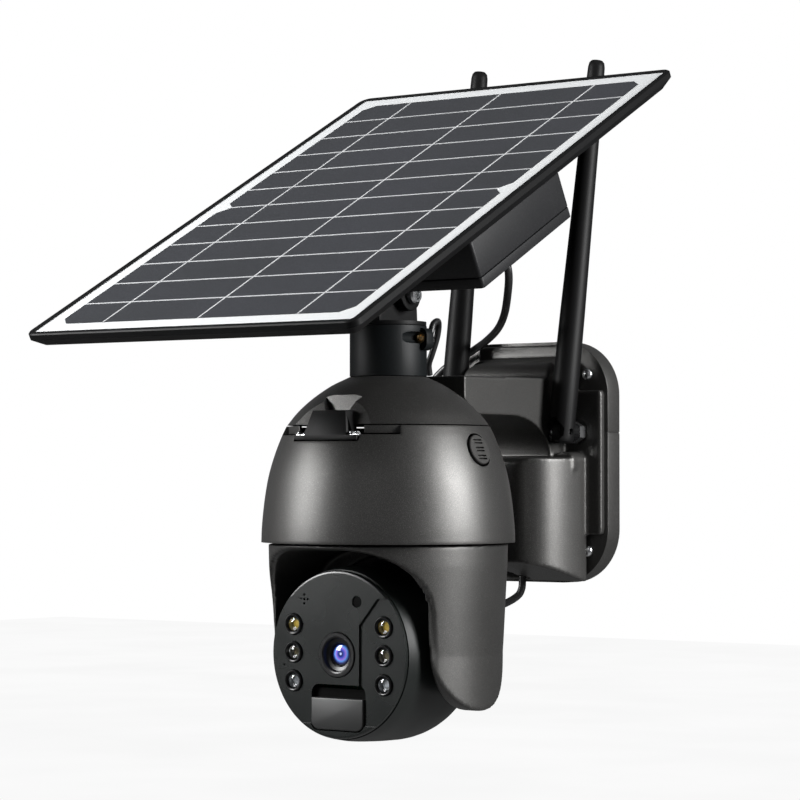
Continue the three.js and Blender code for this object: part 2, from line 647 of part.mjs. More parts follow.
// Pouch battery in the box under the panel.
function panelBattery() {
  return raised(roundedRect(62, 29, 2, -8, -5), BOX.bottom + 5, BOX.top - 4, 3);
}

// Charging and radio board behind the battery cells.
function powerBoard() {
  return box(-28, 28, -16, -14.4, -34, -6).add(box(-10, 6, -15, -12, -24, -12));
}

// The dome's floor plate carries the pan bearing.
function domeBase() {
  const { skirtZ } = DOME;
  const plate = turned([
    [9 + GAP, skirtZ + 1], [52.3, skirtZ + 1], [52.3, skirtZ + 3.4], [14, skirtZ + 3.4], [14, skirtZ + 9],
    [9 + GAP, skirtZ + 9], [9 + GAP, skirtZ + 1],
  ], 36, 0, DOME.y);
  return plate;
}

function panMotor() {
  return rod('z', 14, -17, 2, 0, DOME.y, 28).add(rod('z', 2.5, -26, -16, 0, DOME.y, 16));
}

function mainBoard() {
  return rod('z', 34, 6, 7.6, 0, DOME.y, 32).add(box(-9, 9, DOME.y - 8, DOME.y + 8, 7, 9.6));
}

const SPEAKER = { x: 49.4, z: 5, r: 7.1, tilt: THREE.MathUtils.degToRad(20.5) };

// Round slotted grille, let into the side of the dome.
function speakerGrille() {
  const disc = rod('x', SPEAKER.r, -2.4, 0, 0, 0, 28);
  const slots = union([-4.4, -2.2, 0.9, -0.9, 2.2, 4.4].map(h =>
    box(-0.8, 1, -2.6, 2.6, h - 0.35, h + 0.35)));
  place.makeRotationY(-SPEAKER.tilt);
  place.setPosition(SPEAKER.x, DOME.y, SPEAKER.z);
  return disc.subtract(slots).transform(place.elements);
}

function cameraBoard() {
  return rod('y', 31, -22, -20.4, 0, BALL.z, 32).subtract(rod('y', 11, -24, -18, 0, BALL.z, 24))
    .translate(0, DOME.y, 0);
}

function tiltMotor() {
  return rod('x', 12, -32.6, -14, DOME.y, BALL.z, 24);
}

function lightSensor() {
  const y = FACE.y + 0.5;
  return turnedY([[0, y], [2.3, y], [2.3, y + 3], [0, y + 3]], 16, 10.6, BALL.z + 23).translate(0, DOME.y, 0);
}

function hatchPin() {
  return rod('x', 0.9, -HATCH.halfBottom - 0.8, HATCH.halfBottom + 0.8, HATCH.pinY, HATCH.pinZ, 10);
}

// ---------------------------------------------------------------- cables
// Lead from just under the gland of the panel box, round behind the left antenna, into the housing's side.
const SOLAR_LEAD = [
  [58, -111.3, 88.1], [58, -110.4, 86.4], [57, -107, 80], [48, -95, 72.6], [30.6, -72.5, 65.8],
  [11.1, -49.7, 60.8], [-9.1, -29.8, 56.8], [-24.6, -17, 53.8], [-32.4, -14.2, 51], [-38, -14.6, 48.5],
  [-45.4, -16, 43.4], [-50.2, -16.4, 37.5], [-50.4, -14.6, 28], [-49, -13.2, 14], [-48, -13.8, 2],
  [-44.4, -16.6, -8], [-39.6, -17.6, -12.4], [-36.2, -17.6, -13],
];
// Loop from the top of the arm up behind the collar and back into it.
const NECK_LOOP = [
  [-1, -86, 39], [0, -88, 43.5], [2.5, -89, 48], [5.1, -89, 54.8], [6.9, -90, 59.8], [8.7, -93, 62.4],
  [9.2, -97, 61], [9.3, -99, 57], [9, -100.4, 53.6], [8.6, -101.5, 51],
];
// Charging lead from the bottom of the housing, forward behind the dome to its hanging socket.
const CHARGE_LEAD = [
  [4, -20, -52], [4, -20, -57], [3.7, -20.3, -59.3], [3, -21, -61.4], [1.7, -22.2, -63],
  [0, -23.6, -64.4], [-2.1, -25.4, -65.8], [-4.5, -27.5, -67], [-7.6, -30.2, -68.3], [-11, -33, -69.6],
  [-14.5, -35.8, -71], [-18, -38.5, -72.6], [-21.4, -40.7, -74.6], [-24.5, -42.6, -77],
  [-26.5, -43.9, -79.6], [-28, -44.8, -82.5], [-28.6, -45.2, -85.2], [-29, -45.4, -88],
];

function chargeSocket() {
  const [x, y, z] = CHARGE_LEAD[CHARGE_LEAD.length - 1];
  const top = z - GAP;
  return turned([
    [0, top - 19], [4, top - 19], [4.6, top - 18], [4.6, top - 5.5], [2.8, top - 4], [2.3, top], [0, top],
  ], 16, x, y);
}

// ---------------------------------------------------------------- assembly
const fixed = new THREE.Group();
const pan = new THREE.Group();
const head = new THREE.Group();
model.add(fixed, pan, head, panel);

add(fixed, 'wall_plate', wallPlate(), charcoal);
add(fixed, 'housing', housing(), charcoal);
add(fixed, 'dome_shell', domeShell(), charcoal);
add(fixed, 'dome_cap', domeCap(), charcoal);
add(fixed, 'collar', collar(), blackGloss);
add(fixed, 'brass_insert', brassInsert(), brass);
add(fixed, 'hatch_cover', hatchCover(), blackSatin);
add(fixed, 'swivel_post', swivelPost(), blackSatin);
add(fixed, 'hatch_pin', hatchPin(), steel);
add(fixed, 'dome_base', domeBase(), blackSatin);
add(fixed, 'pan_motor', panMotor(), motorCan);
add(fixed, 'main_board', mainBoard(), boardGreen);
add(fixed, 'speaker_grille', speakerGrille(), charcoal);
add(fixed, 'battery_cell_1', batteryCell(-11.5), cellWrap);
add(fixed, 'battery_cell_2', batteryCell(-31.5), cellWrap);
add(fixed, 'power_board', powerBoard(), boardGreen);
screwSpots.forEach(([x, z], i) => add(fixed, `wall_screw_${i + 1}`, wallScrew(x, z), steel));
add(fixed, 'solar_lead', tube(SOLAR_LEAD, CABLE_R, 44), blackSatin);
add(fixed, 'neck_loop', tube(NECK_LOOP, CABLE_R - 0.3, 18), blackSatin);
add(fixed, 'charge_lead', tube(CHARGE_LEAD, CABLE_R, 20), blackSatin);
add(fixed, 'charge_socket', chargeSocket(), blackSatin);

add(pan, 'yoke', yoke(), charcoal);
add(head, 'ball_shell', ballShell(), faceBlack);
add(head, 'face_plate', facePlate(), faceBlack);
add(head, 'lens_barrel', lensBarrel(), blackSatin);
add(head, 'lens_glass', lensGlassDisc(), lensGlass);
add(head, 'pir_cover', pirCover(), faceBlack);
add(head, 'light_sensor', lightSensor(), blackGloss);
add(head, 'camera_board', cameraBoard(), boardGreen);
add(head, 'tilt_motor', tiltMotor(), motorCan);
for (const [name, side] of [['left', -1], ['right', 1]]) {
  add(head, `tilt_axle_${name}`, axle(side), steel);
  LED.rows.forEach((height, i) => add(head, `led_${name}_${i + 1}`, ledLens(side, height), clearLens));
  add(fixed, `antenna_socket_${name}`, antennaSocket(side), steel);
  add(fixed, `antenna_elbow_${name}`, antennaElbow(side), blackSatin);
  add(fixed, `antenna_rod_${name}`, antennaRod(side), blackSatin);
  add(fixed, `antenna_pin_${name}`, antennaPin(side), steel);
}

add(panel, 'panel_frame', panelFrame(), blackSatin);
add(panel, 'backsheet', backsheet(), sheetWhite);
add(panel, 'cell_string_front', cellString(-1), cellBlue);
add(panel, 'cell_string_back', cellString(1), cellBlue);
add(panel, 'panel_battery', panelBattery(), cellWrap);
add(panel, 'panel_box', panelBox(), blackSatin);
add(panel, 'panel_box_lid', panelBoxLid(), blackSatin);
add(panel, 'panel_gland', panelGland(), blackSatin);
add(panel, 'panel_bracket', panelBracket(), blackSatin);
add(panel, 'tilt_bolt', tiltBolt(), steel);
add(panel, 'tilt_nut', tiltNut(), steel);

export default model;
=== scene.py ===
# Looks of the solar-powered security camera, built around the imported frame.
import bpy
import bmesh
import json
from math import atan2, cos, pi, radians, sin, sqrt
from mathutils import Matrix, Vector

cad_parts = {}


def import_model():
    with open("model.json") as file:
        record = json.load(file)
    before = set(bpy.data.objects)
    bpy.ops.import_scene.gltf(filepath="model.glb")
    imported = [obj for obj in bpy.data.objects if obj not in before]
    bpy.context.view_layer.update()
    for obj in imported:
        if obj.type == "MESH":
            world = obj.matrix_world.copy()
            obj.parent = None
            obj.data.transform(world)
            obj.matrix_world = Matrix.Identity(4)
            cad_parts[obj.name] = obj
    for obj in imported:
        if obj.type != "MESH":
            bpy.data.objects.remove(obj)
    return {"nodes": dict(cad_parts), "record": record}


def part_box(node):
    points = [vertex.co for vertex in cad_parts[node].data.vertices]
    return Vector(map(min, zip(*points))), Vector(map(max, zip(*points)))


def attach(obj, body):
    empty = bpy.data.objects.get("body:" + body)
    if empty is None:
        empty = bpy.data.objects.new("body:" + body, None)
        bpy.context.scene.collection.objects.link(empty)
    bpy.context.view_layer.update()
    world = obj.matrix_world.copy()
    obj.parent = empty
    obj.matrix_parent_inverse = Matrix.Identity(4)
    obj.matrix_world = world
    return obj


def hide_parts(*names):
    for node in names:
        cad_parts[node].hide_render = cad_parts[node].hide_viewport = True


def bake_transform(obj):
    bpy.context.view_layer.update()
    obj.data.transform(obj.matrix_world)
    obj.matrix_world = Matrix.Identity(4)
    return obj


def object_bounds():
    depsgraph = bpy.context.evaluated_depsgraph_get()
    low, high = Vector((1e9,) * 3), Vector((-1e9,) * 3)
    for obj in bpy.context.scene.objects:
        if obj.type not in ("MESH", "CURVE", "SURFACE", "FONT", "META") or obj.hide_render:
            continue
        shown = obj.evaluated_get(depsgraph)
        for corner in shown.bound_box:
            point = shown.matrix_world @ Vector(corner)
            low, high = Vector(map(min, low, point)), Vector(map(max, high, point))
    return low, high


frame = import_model()
cad_bounds = [list(corner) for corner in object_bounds()]
MM = 0.001


# ------------------------------------------------------------------ places read from the frame
def lows_highs(node):
    low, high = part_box(node)
    return Vector(low) / MM, Vector(high) / MM


def middle(*nodes):
    boxes = [lows_highs(node) for node in nodes]
    low = Vector([min(b[0][i] for b in boxes) for i in range(3)])
    high = Vector([max(b[1][i] for b in boxes) for i in range(3)])
    return (low + high) / 2


SHELL_LOW, SHELL_HIGH = lows_highs("dome_shell")
DOME_Y = (SHELL_LOW.y + SHELL_HIGH.y) / 2
SKIRT_Z = SHELL_LOW.z
PART_Z = SHELL_HIGH.z
CAP_TOP = lows_highs("dome_cap")[1].z
COLLAR_LOW, COLLAR_HIGH = lows_highs("collar")
HEAD = middle("tilt_axle_left", "tilt_axle_right")
FACE_Y = lows_highs("face_plate")[0].y
YOKE_LOW, YOKE_HIGH = lows_highs("yoke")
PLATE_LOW, PLATE_HIGH = lows_highs("wall_plate")
KNUCKLE = middle("tilt_bolt")
KNUCKLE.x = 0
PANEL_TILT = radians(27.9)
PANEL_HALF = Vector((88, 132.5))
CELL_TOP = -0.6
CELL_MIDDLE = Vector((0, 0, CELL_TOP - 0.175))
PANEL_PLACE = (Matrix.Translation(middle("cell_string_front", "cell_string_back") * MM)
               @ Matrix.Rotation(PANEL_TILT, 4, "X") @ Matrix.Translation(-CELL_MIDDLE * MM))
GRILLE_TURN = Matrix.Rotation(-radians(20.5), 4, "Y")
GRILLE_PLACE = Matrix.Translation(Vector((49.6, DOME_Y, 5)) * MM) @ GRILLE_TURN


# ------------------------------------------------------------------ outlines
def arc(cx, cy, r, start, end, steps=12):
    return [(cx + r * cos(radians(start + (end - start) * i / steps)),
             cy + r * sin(radians(start + (end - start) * i / steps))) for i in range(steps + 1)]


def rounded(hx, hy, r, cx=0.0, cy=0.0, steps=12):
    corners = [(cx + hx - r, cy + hy - r, 0), (cx - hx + r, cy + hy - r, 90),
               (cx - hx + r, cy - hy + r, 180), (cx + hx - r, cy - hy + r, 270)]
    return [p for x, y, a in corners for p in arc(x, y, r, a, a + 90, steps)]


def quadratic(p0, p1, p2, steps=12):
    points = []
    for i in range(1, steps + 1):
        t = i / steps
        points.append(tuple((1 - t) ** 2 * a + 2 * t * (1 - t) * b + t * t * c
                            for a, b, c in zip(p0, p1, p2)))
    return points


def spline(points, steps=6):
    """Catmull-Rom curve through points of any dimension."""
    pts = [Vector(p) for p in points]
    ends = [2 * pts[0] - pts[1]] + pts + [2 * pts[-1] - pts[-2]]
    out = []
    for i in range(1, len(ends) - 2):
        a, b, c, d = ends[i - 1:i + 3]
        for k in range(steps):
            t = k / steps
            out.append(0.5 * ((2 * b) + (c - a) * t + (2 * a - 5 * b + 4 * c - d) * t * t
                              + (3 * b - a - 3 * c + d) * t ** 3))
    out.append(pts[-1])
    return [tuple(p) for p in out]


# ------------------------------------------------------------------ mesh tools
def make_object(name, bm):
    bmesh.ops.remove_doubles(bm, verts=bm.verts, dist=1e-7)
    bmesh.ops.recalc_face_normals(bm, faces=bm.faces)
    mesh = bpy.data.meshes.new(name)
    bm.to_mesh(mesh)
    bm.free()
    obj = bpy.data.objects.new(name, mesh)
    bpy.context.scene.collection.objects.link(obj)
    return obj


def lathe(name, profile, centre=(0, 0, 0), axis="Z", steps=96):
    """Revolve [radius, height] points, in mm, about an axis through centre."""
    bm = bmesh.new()
    rings = []
    for r, h in profile:
        ring = []
        for i in range(steps if r > 1e-6 else 1):
            a = 2 * pi * i / steps
            u, v = r * cos(a), r * sin(a)
            co = {"Z": (u, v, h), "Y": (u, h, v), "X": (h, u, v)}[axis]
            ring.append(bm.verts.new((Vector(co) + Vector(centre)) * MM))
        rings.append(ring)
    for low, high in zip(rings, rings[1:]):
        for i in range(steps):
            j = (i + 1) % steps
            quad = [low[i % len(low)], low[j % len(low)], high[j % len(high)], high[i % len(high)]]
            unique = list(dict.fromkeys(quad))
            if len(unique) > 2:
                bm.faces.new(unique)
    return make_object(name, bm)


def prism(name, outline, axis, a, b, centre=(0, 0, 0)):
    """A flat outline, in mm, run along an axis from a to b."""
    bm = bmesh.new()
    rows = []
    for h in (a, b):
        row = []
        for u, v in outline:
            co = {"Z": (u, v, h), "Y": (u, h, v), "X": (h, u, v)}[axis]
            row.append(bm.verts.new((Vector(co) + Vector(centre)) * MM))
        rows.append(row)
    n = len(outline)
    for i in range(n):
        j = (i + 1) % n
        bm.faces.new([rows[0][i], rows[0][j], rows[1][j], rows[1][i]])
    bm.faces.new(rows[0])
    bm.faces.new(rows[1])
    return make_object(name, bm)


def block(name, low, high):
    outline = [(low[0], low[1]), (high[0], low[1]), (high[0], high[1]), (low[0], high[1])]
    return prism(name, outline, "Z", low[2], high[2])


def rod(name, axis, r, a, b, centre, steps=48):
    return lathe(name, [(0, a), (r, a), (r, b), (0, b)], centre, axis, steps)


def apply_modifiers(obj):
    graph = bpy.context.evaluated_depsgraph_get()
    mesh = bpy.data.meshes.new_from_object(obj.evaluated_get(graph))
    obj.modifiers.clear()
    old = obj.data
    obj.data = mesh
    bpy.data.meshes.remove(old)
    return obj


def boolean(obj, operation, tools):
    for tool in tools:
        step = obj.modifiers.new("boolean", "BOOLEAN")
        step.operation = operation
        step.solver = "EXACT"
        step.object = tool
    apply_modifiers(obj)
    for tool in tools:
        bpy.data.objects.remove(tool, do_unlink=True)
    return obj


def cut(obj, *tools):
    return boolean(obj, "DIFFERENCE", tools)


def join(obj, *tools):
    return boolean(obj, "UNION", tools)


def common(obj, *tools):
    return boolean(obj, "INTERSECT", tools)


def shade(obj, angle=32):
    for face in obj.data.polygons:
        face.use_smooth = True
    obj.data.set_sharp_from_angle(angle=radians(angle))
    return obj


def bevel(obj, width, segments=3, angle=32):
    step = obj.modifiers.new("bevel", "BEVEL")
    step.width = width * MM
    step.segments = segments
    step.limit_method = "ANGLE"
    step.angle_limit = radians(angle)
    step.miter_outer = "MITER_ARC"
    apply_modifiers(obj)
    return shade(obj)


def melt(obj, voxel, rounds, factor=0.5):
    """Rebuild as one even skin and relax it, which gives moulded fillets."""
    step = obj.modifiers.new("remesh", "REMESH")
    step.mode = "VOXEL"
    step.voxel_size = voxel * MM
    relax = obj.modifiers.new("relax", "SMOOTH")
    relax.factor = factor
    relax.iterations = rounds
    apply_modifiers(obj)
    for face in obj.data.polygons:
        face.use_smooth = True
    return obj


def cable(name, points, radius, steps=5):
    return tube(name, spline(points, steps), radius)


def tube(name, route, radius):
    curve = bpy.data.curves.new(name, "CURVE")
    curve.dimensions = "3D"
    curve.bevel_depth = radius * MM
    curve.bevel_resolution = 6
    line = curve.splines.new("POLY")
    line.points.add(len(route) - 1)
    for point, co in zip(line.points, route):
        point.co = (*(Vector(co) * MM), 1)
    line.use_smooth = True
    obj = bpy.data.objects.new(name, curve)
    bpy.context.scene.collection.objects.link(obj)
    return obj


def piece(obj, body, slot, material, *nodes):
    obj.data.materials.clear()
    obj.data.materials.append(material)
    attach(obj, body)
    if nodes:
        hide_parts(*nodes)
    return obj


# ------------------------------------------------------------------ materials
class Shader:
    """A node material with the few building blocks that the finishes share."""

    def __init__(self, name, color, roughness, metallic=0.0, **sockets):
        self.material = bpy.data.materials.new(name)
        self.material.use_nodes = True
        self.tree = self.material.node_tree
        self.bsdf = self.tree.nodes["Principled BSDF"]
        self.bsdf.inputs["Base Color"].default_value = (*color, 1)
        self.bsdf.inputs["Roughness"].default_value = roughness
        self.bsdf.inputs["Metallic"].default_value = metallic
        for socket, value in sockets.items():
            self.bsdf.inputs[socket.replace("_", " ")].default_value = value
        self.place = self.tree.nodes.new("ShaderNodeTexCoord").outputs["Object"]

    def link(self, a, b):
        self.tree.links.new(a, b)

    def noise(self, scale, detail=2.0):
        node = self.tree.nodes.new("ShaderNodeTexNoise")
        node.inputs["Scale"].default_value = scale
        node.inputs["Detail"].default_value = detail
        self.link(self.place, node.inputs["Vector"])
        return node.outputs["Fac"]

    def ramp(self, source, stops):
        node = self.tree.nodes.new("ShaderNodeValToRGB")
        elements = node.color_ramp.elements
        while len(elements) < len(stops):
            elements.new(0.5)
        for element, (position, color) in zip(elements, stops):
            element.position = position
            element.color = (*color, 1) if len(color) == 3 else color
        self.link(source, node.inputs["Fac"])
        return node.outputs["Color"]

    def span(self, source, low, high):
        node = self.tree.nodes.new("ShaderNodeMapRange")
        node.inputs["To Min"].default_value = low
        node.inputs["To Max"].default_value = high
        self.link(source, node.inputs["Value"])
        return node.outputs["Result"]

    def bump(self, source, strength, distance):
        node = self.tree.nodes.new("ShaderNodeBump")
        node.inputs["Strength"].default_value = strength
        node.inputs["Distance"].default_value = distance
        self.link(source, node.inputs["Height"])
        self.link(node.outputs["Normal"], self.bsdf.inputs["Normal"])


def moulded(name, color, roughness, metallic, grain, grain_scale, fleck=0.0, **sockets):
    """Moulded plastic: grain in the surface, slow changes in tone, and metallic flecks."""
    s = Shader(name, color, roughness, metallic, **sockets)
    fine = s.noise(grain_scale, 3)
    low = [c * (1 - fleck * 0.5) for c in color]
    high = [min(1, c * (1 + fleck * 2)) for c in color]
    s.link(s.ramp(fine, [(0.3, low), (0.55, color), (0.75, high)]), s.bsdf.inputs["Base Color"])
    s.link(s.span(s.noise(40, 2), roughness - 0.05, roughness + 0.06), s.bsdf.inputs["Roughness"])
    s.bump(fine, grain, 0.0001)
    return s.material


CHARCOAL = moulded("charcoal", (0.062, 0.061, 0.059), 0.40, 0.7, 0.4, 3300, 0.5)
BLACK = moulded("black_satin", (0.0035, 0.0035, 0.0037), 0.5, 0.0, 0.2, 1800, 0.3, Specular_IOR_Level=0.12)
GLOSS = moulded("black_gloss", (0.004, 0.005, 0.0055), 0.5, 0.0, 0.04, 900, 0.2, Specular_IOR_Level=0.15)
FACE = moulded("face_black", (0.0085, 0.010, 0.0095), 0.27, 0.0, 0.06, 2200, 0.2, Specular_IOR_Level=0.4)
PANEL_BLACK = moulded("panel_black", (0.0045, 0.0046, 0.0048), 0.45, 0.0, 0.25, 1500, 0.3, Specular_IOR_Level=0.1)
SHEET = moulded("backsheet_white", (0.74, 0.755, 0.76), 0.4, 0.0, 0.05, 700, 0.03)
STEEL = moulded("steel", (0.60, 0.61, 0.62), 0.26, 1.0, 0.06, 900, 0.08)
BRASS = moulded("brass", (0.80, 0.55, 0.26), 0.24, 1.0, 0.06, 900, 0.08)
CAN = moulded("motor_can", (0.42, 0.43, 0.44), 0.34, 1.0, 0.1, 900, 0.08)
WRAP = moulded("cell_wrap", (0.03, 0.14, 0.38), 0.3, 0.0, 0.04, 500, 0.1)
RUBBER = moulded("cable_black", (0.011, 0.011, 0.0115), 0.38, 0.0, 0.12, 1200, 0.2)
LINE_WHITE = moulded("line_white", (0.6, 0.61, 0.62), 0.35, 0.0, 0.05, 700, 0.03)
# Near-black with hardly any specular: painted shade at the back of recesses, and the black of the light sensor window.
BLACK_AND_PAINTED_SHADE = moulded("black_and_painted_shade", (0.001, 0.001, 0.001), 0.7, 0.0, 0.05, 900, 0.1, Specular_IOR_Level=0.05)
CHROME = moulded("reflector", (0.45, 0.46, 0.46), 0.22, 1.0, 0.03, 700, 0.03)


def board_material():
    s = Shader("circuit_board", (0.02, 0.13, 0.06), 0.4)
    brick = s.tree.nodes.new("ShaderNodeTexBrick")
    brick.inputs["Scale"].default_value = 240
    brick.inputs["Color1"].default_value = (0.018, 0.12, 0.05, 1)
    brick.inputs["Color2"].default_value = (0.025, 0.16, 0.07, 1)
    brick.inputs["Mortar"].default_value = (0.45, 0.33, 0.12, 1)
    brick.inputs["Mortar Size"].default_value = 0.012
    s.link(s.place, brick.inputs["Vector"])
    s.link(brick.outputs["Color"], s.bsdf.inputs["Base Color"])
    s.bump(brick.outputs["Fac"], 0.2, 0.0001)
    return s.material


def cell_material():
    """Dark silicon under film: speckle and faint bluish patches."""
    s = Shader("cell_silicon", (0.06, 0.064, 0.072), 0.34, Coat_Weight=0.35, Coat_Roughness=0.22)
    speckle = s.noise(2200, 2)
    grains = s.ramp(speckle, [(0.3, (0.020, 0.021, 0.0235)), (0.55, (0.038, 0.040, 0.044)),
                              (0.72, (0.078, 0.081, 0.087))])
    patches = s.ramp(s.noise(14, 2), [(0.35, (0.9, 0.92, 0.94)), (0.7, (1.05, 1.06, 1.13))])
    mix = s.tree.nodes.new("ShaderNodeMix")
    mix.data_type = "RGBA"
    mix.blend_type = "MULTIPLY"
    mix.inputs["Factor"].default_value = 1.0
    s.link(grains, mix.inputs["A"])
    s.link(patches, mix.inputs["B"])
    s.link(mix.outputs["Result"], s.bsdf.inputs["Base Color"])
    s.bump(speckle, 0.12, 0.0001)
    return s.material


def clear_material():
    s = Shader("led_clear", (0.97, 0.98, 1.0), 0.03, Transmission_Weight=1.0, IOR=1.45)
    s.bump(s.noise(300, 1), 0.02, 0.0001)
    return s.material


def glow_material(name, color):
    s = Shader(name, color, 0.35)
    grain = s.noise(1500, 2)
    s.link(s.ramp(grain, [(0.3, [c * 0.75 for c in color]), (0.7, color)]), s.bsdf.inputs["Base Color"])
    return s.material


def painted_reflection_lens():
    """Front lens: painted reflections, rings of blue, violet and pale glints painted round the optical axis, with a
    faint painted glow.
    """
    s = Shader("lens_painted_reflections", (0.02, 0.02, 0.08), 0.04, Coat_Weight=1.0, Coat_Roughness=0.02)
    offset = s.tree.nodes.new("ShaderNodeVectorMath")
    offset.operation = "SUBTRACT"
    offset.inputs[1].default_value = Vector((HEAD.x + 0.6, 0, HEAD.z + 0.4)) * MM
    s.link(s.place, offset.inputs[0])
    flat = s.tree.nodes.new("ShaderNodeVectorMath")
    flat.operation = "MULTIPLY"
    flat.inputs[1].default_value = (1, 0, 1)
    s.link(offset.outputs["Vector"], flat.inputs[0])
    length = s.tree.nodes.new("ShaderNodeVectorMath")
    length.operation = "LENGTH"
    s.link(flat.outputs["Vector"], length.inputs[0])
    radius = s.tree.nodes.new("ShaderNodeMath")
    radius.operation = "MULTIPLY"
    radius.inputs[1].default_value = 1000 / 5.2
    s.link(length.outputs["Value"], radius.inputs[0])
    # Painted reflections: the rings of glint and coating colour are painted into the base colour.
    rings = s.ramp(radius.outputs["Value"], [
        (0.0, (0.9, 0.95, 1.0)), (0.07, (0.35, 0.45, 0.9)), (0.16, (0.01, 0.01, 0.05)),
        (0.34, (0.05, 0.07, 0.45)), (0.5, (0.28, 0.16, 0.6)), (0.62, (0.10, 0.28, 0.75)),
        (0.76, (0.02, 0.03, 0.16)), (0.95, (0.004, 0.004, 0.01))])
    s.link(rings, s.bsdf.inputs["Base Color"])
    # The rings also drive a faint emission: a painted glow, as the lens is no lamp.
    s.link(rings, s.bsdf.inputs["Emission Color"])
    s.bsdf.inputs["Emission Strength"].default_value = 0.22
    return s.material


BOARD = board_material()
CELL = cell_material()
CLEAR = clear_material()
PHOSPHOR = glow_material("phosphor", (0.9, 0.6, 0.02))
INFRARED = glow_material("infrared_chip", (0.16, 0.13, 0.05))
WHITE_CHIP = glow_material("white_chip", (0.62, 0.64, 0.66))
LENS = painted_reflection_lens()
BALL = moulded("ball_black", (0.008, 0.0095, 0.009), 0.38, 0.0, 0.06, 2200, 0.2, Specular_IOR_Level=0.3)


# ------------------------------------------------------------------ camera, lights, floor
VIEW_AZIMUTH = radians(36.95)
VIEW_PITCH = radians(1.51)
VIEW_DISTANCE = 1284.5


def camera():
    data = bpy.data.cameras.new("camera")
    data.sensor_width = 36
    data.lens = 131.7
    obj = bpy.data.objects.new("camera", data)
    bpy.context.scene.collection.objects.link(obj)
    eye_z = CAP_TOP - 44.0
    obj.location = Vector((VIEW_DISTANCE * 0.6061, DOME_Y - VIEW_DISTANCE * 0.7991, eye_z)) * MM
    obj.rotation_euler = (pi / 2 + VIEW_PITCH, 0, VIEW_AZIMUTH)
    bpy.context.scene.camera = obj


def area_light(name, azimuth, elevation, distance, size, power, spread=180):
    data = bpy.data.lights.new(name, "AREA")
    data.shape = "RECTANGLE"
    data.size, data.size_y = size
    data.energy = power
    data.spread = radians(spread)
    obj = bpy.data.objects.new(name, data)
    bpy.context.scene.collection.objects.link(obj)
    a, e = radians(azimuth), radians(elevation)
    back = Vector((sin(a) * cos(e), -cos(a) * cos(e), sin(e)))
    target = Vector((0, DOME_Y, 0)) * MM
    obj.location = target + back * distance
    obj.rotation_euler = back.to_track_quat("Z", "Y").to_euler()


def seen_and_lit(tree, out, seen, lit):
    """Send one shader to the camera's own rays and another to every other ray."""
    mix = tree.nodes.new("ShaderNodeMixShader")
    rays = tree.nodes.new("ShaderNodeLightPath")
    tree.links.new(rays.outputs["Is Camera Ray"], mix.inputs[0])
    tree.links.new(lit, mix.inputs[1])
    tree.links.new(seen, mix.inputs[2])
    tree.links.new(mix.outputs[0], out.inputs["Surface"])


def world():
    """Near-white to look at, and dim to be lit by, so that gloss stays dark between the lights."""
    scene = bpy.context.scene
    scene.world = bpy.data.worlds.new("studio")
    scene.world.use_nodes = True
    tree = scene.world.node_tree
    tree.nodes.clear()
    backgrounds = []
    for color, strength in (((1, 1, 1), 1.0), ((0.95, 0.96, 1.0), 0.12)):
        background = tree.nodes.new("ShaderNodeBackground")
        background.inputs["Color"].default_value = (*color, 1)
        background.inputs["Strength"].default_value = strength
        backgrounds.append(background.outputs[0])
    seen_and_lit(tree, tree.nodes.new("ShaderNodeOutputWorld"), *backgrounds)
    scene.view_settings.view_transform = "Standard"


def floor():
    """Pale floor well below the wall mount. The camera sees it brighter than it lights the part."""
    size = 6.0
    z = cad_bounds[0][2] - 0.35
    mesh = bpy.data.meshes.new("floor")
    corners = [(-size, -size, z), (size, -size, z), (size, size, z), (-size, size, z)]
    mesh.from_pydata(corners, [], [(0, 1, 2, 3)])
    obj = bpy.data.objects.new("floor", mesh)
    bpy.context.scene.collection.objects.link(obj)
    s = Shader("floor_pale", (0.2, 0.2, 0.2), 0.8)
    mottle = s.ramp(s.noise(3), [(0.3, (0.93, 0.93, 0.93)), (0.7, (0.96, 0.96, 0.96))])
    glow = s.tree.nodes.new("ShaderNodeEmission")
    s.link(mottle, glow.inputs["Color"])
    out = s.tree.nodes["Material Output"]
    seen_and_lit(s.tree, out, glow.outputs[0], s.bsdf.outputs[0])
    mesh.materials.append(s.material)


camera()
world()
floor()
area_light("left_box", -45, 20, 0.9, (0.32, 0.56), 14)
area_light("right_box", 104, 16, 0.9, (0.3, 0.5), 17)
area_light("top_box", 60, 74, 1.1, (0.7, 0.7), 1.6)
area_light("front_fill", 20, 30, 1.6, (0.7, 0.7), 1.5)


# ------------------------------------------------------------------ wall plate and screws
def wall_plate():
    half_x = PLATE_HIGH.x
    half_z = PLATE_HIGH.z
    plate = prism("wall_plate_body", rounded(half_x, half_z, 25, steps=20), "Y", PLATE_LOW.y, PLATE_HIGH.y)
    nick = block("nick", (half_x - 0.35, PLATE_LOW.y - 1, 13.3), (half_x + 1, 1, 13.8))
    other = block("nick", (-half_x - 1, PLATE_LOW.y - 1, 13.3), (-half_x + 0.35, 1, 13.8))
    cut(plate, nick, other)
    bevel(plate, 0.8, 3)
    piece(plate, "root", "charcoal_plastic", CHARCOAL, "wall_plate")


def wall_screws():
    for i in range(1, 5):
        node = f"wall_screw_{i}"
        low, high = lows_highs(node)
        mid = (low + high) / 2
        face = PLATE_LOW.y - 0.05
        dome = [(0, face - 2.2), (1.2, face - 2.05), (2.1, face - 1.6), (2.7, face - 0.9), (2.9, face - 0.2),
                (2.9, face), (1.6, face), (1.6, high.y), (0, high.y)]
        screw = lathe(f"screw_head_{i}", dome, (mid.x, 0, mid.z), "Y", 48)
        shade(screw, 40)
        piece(screw, "root", "steel", STEEL, node)


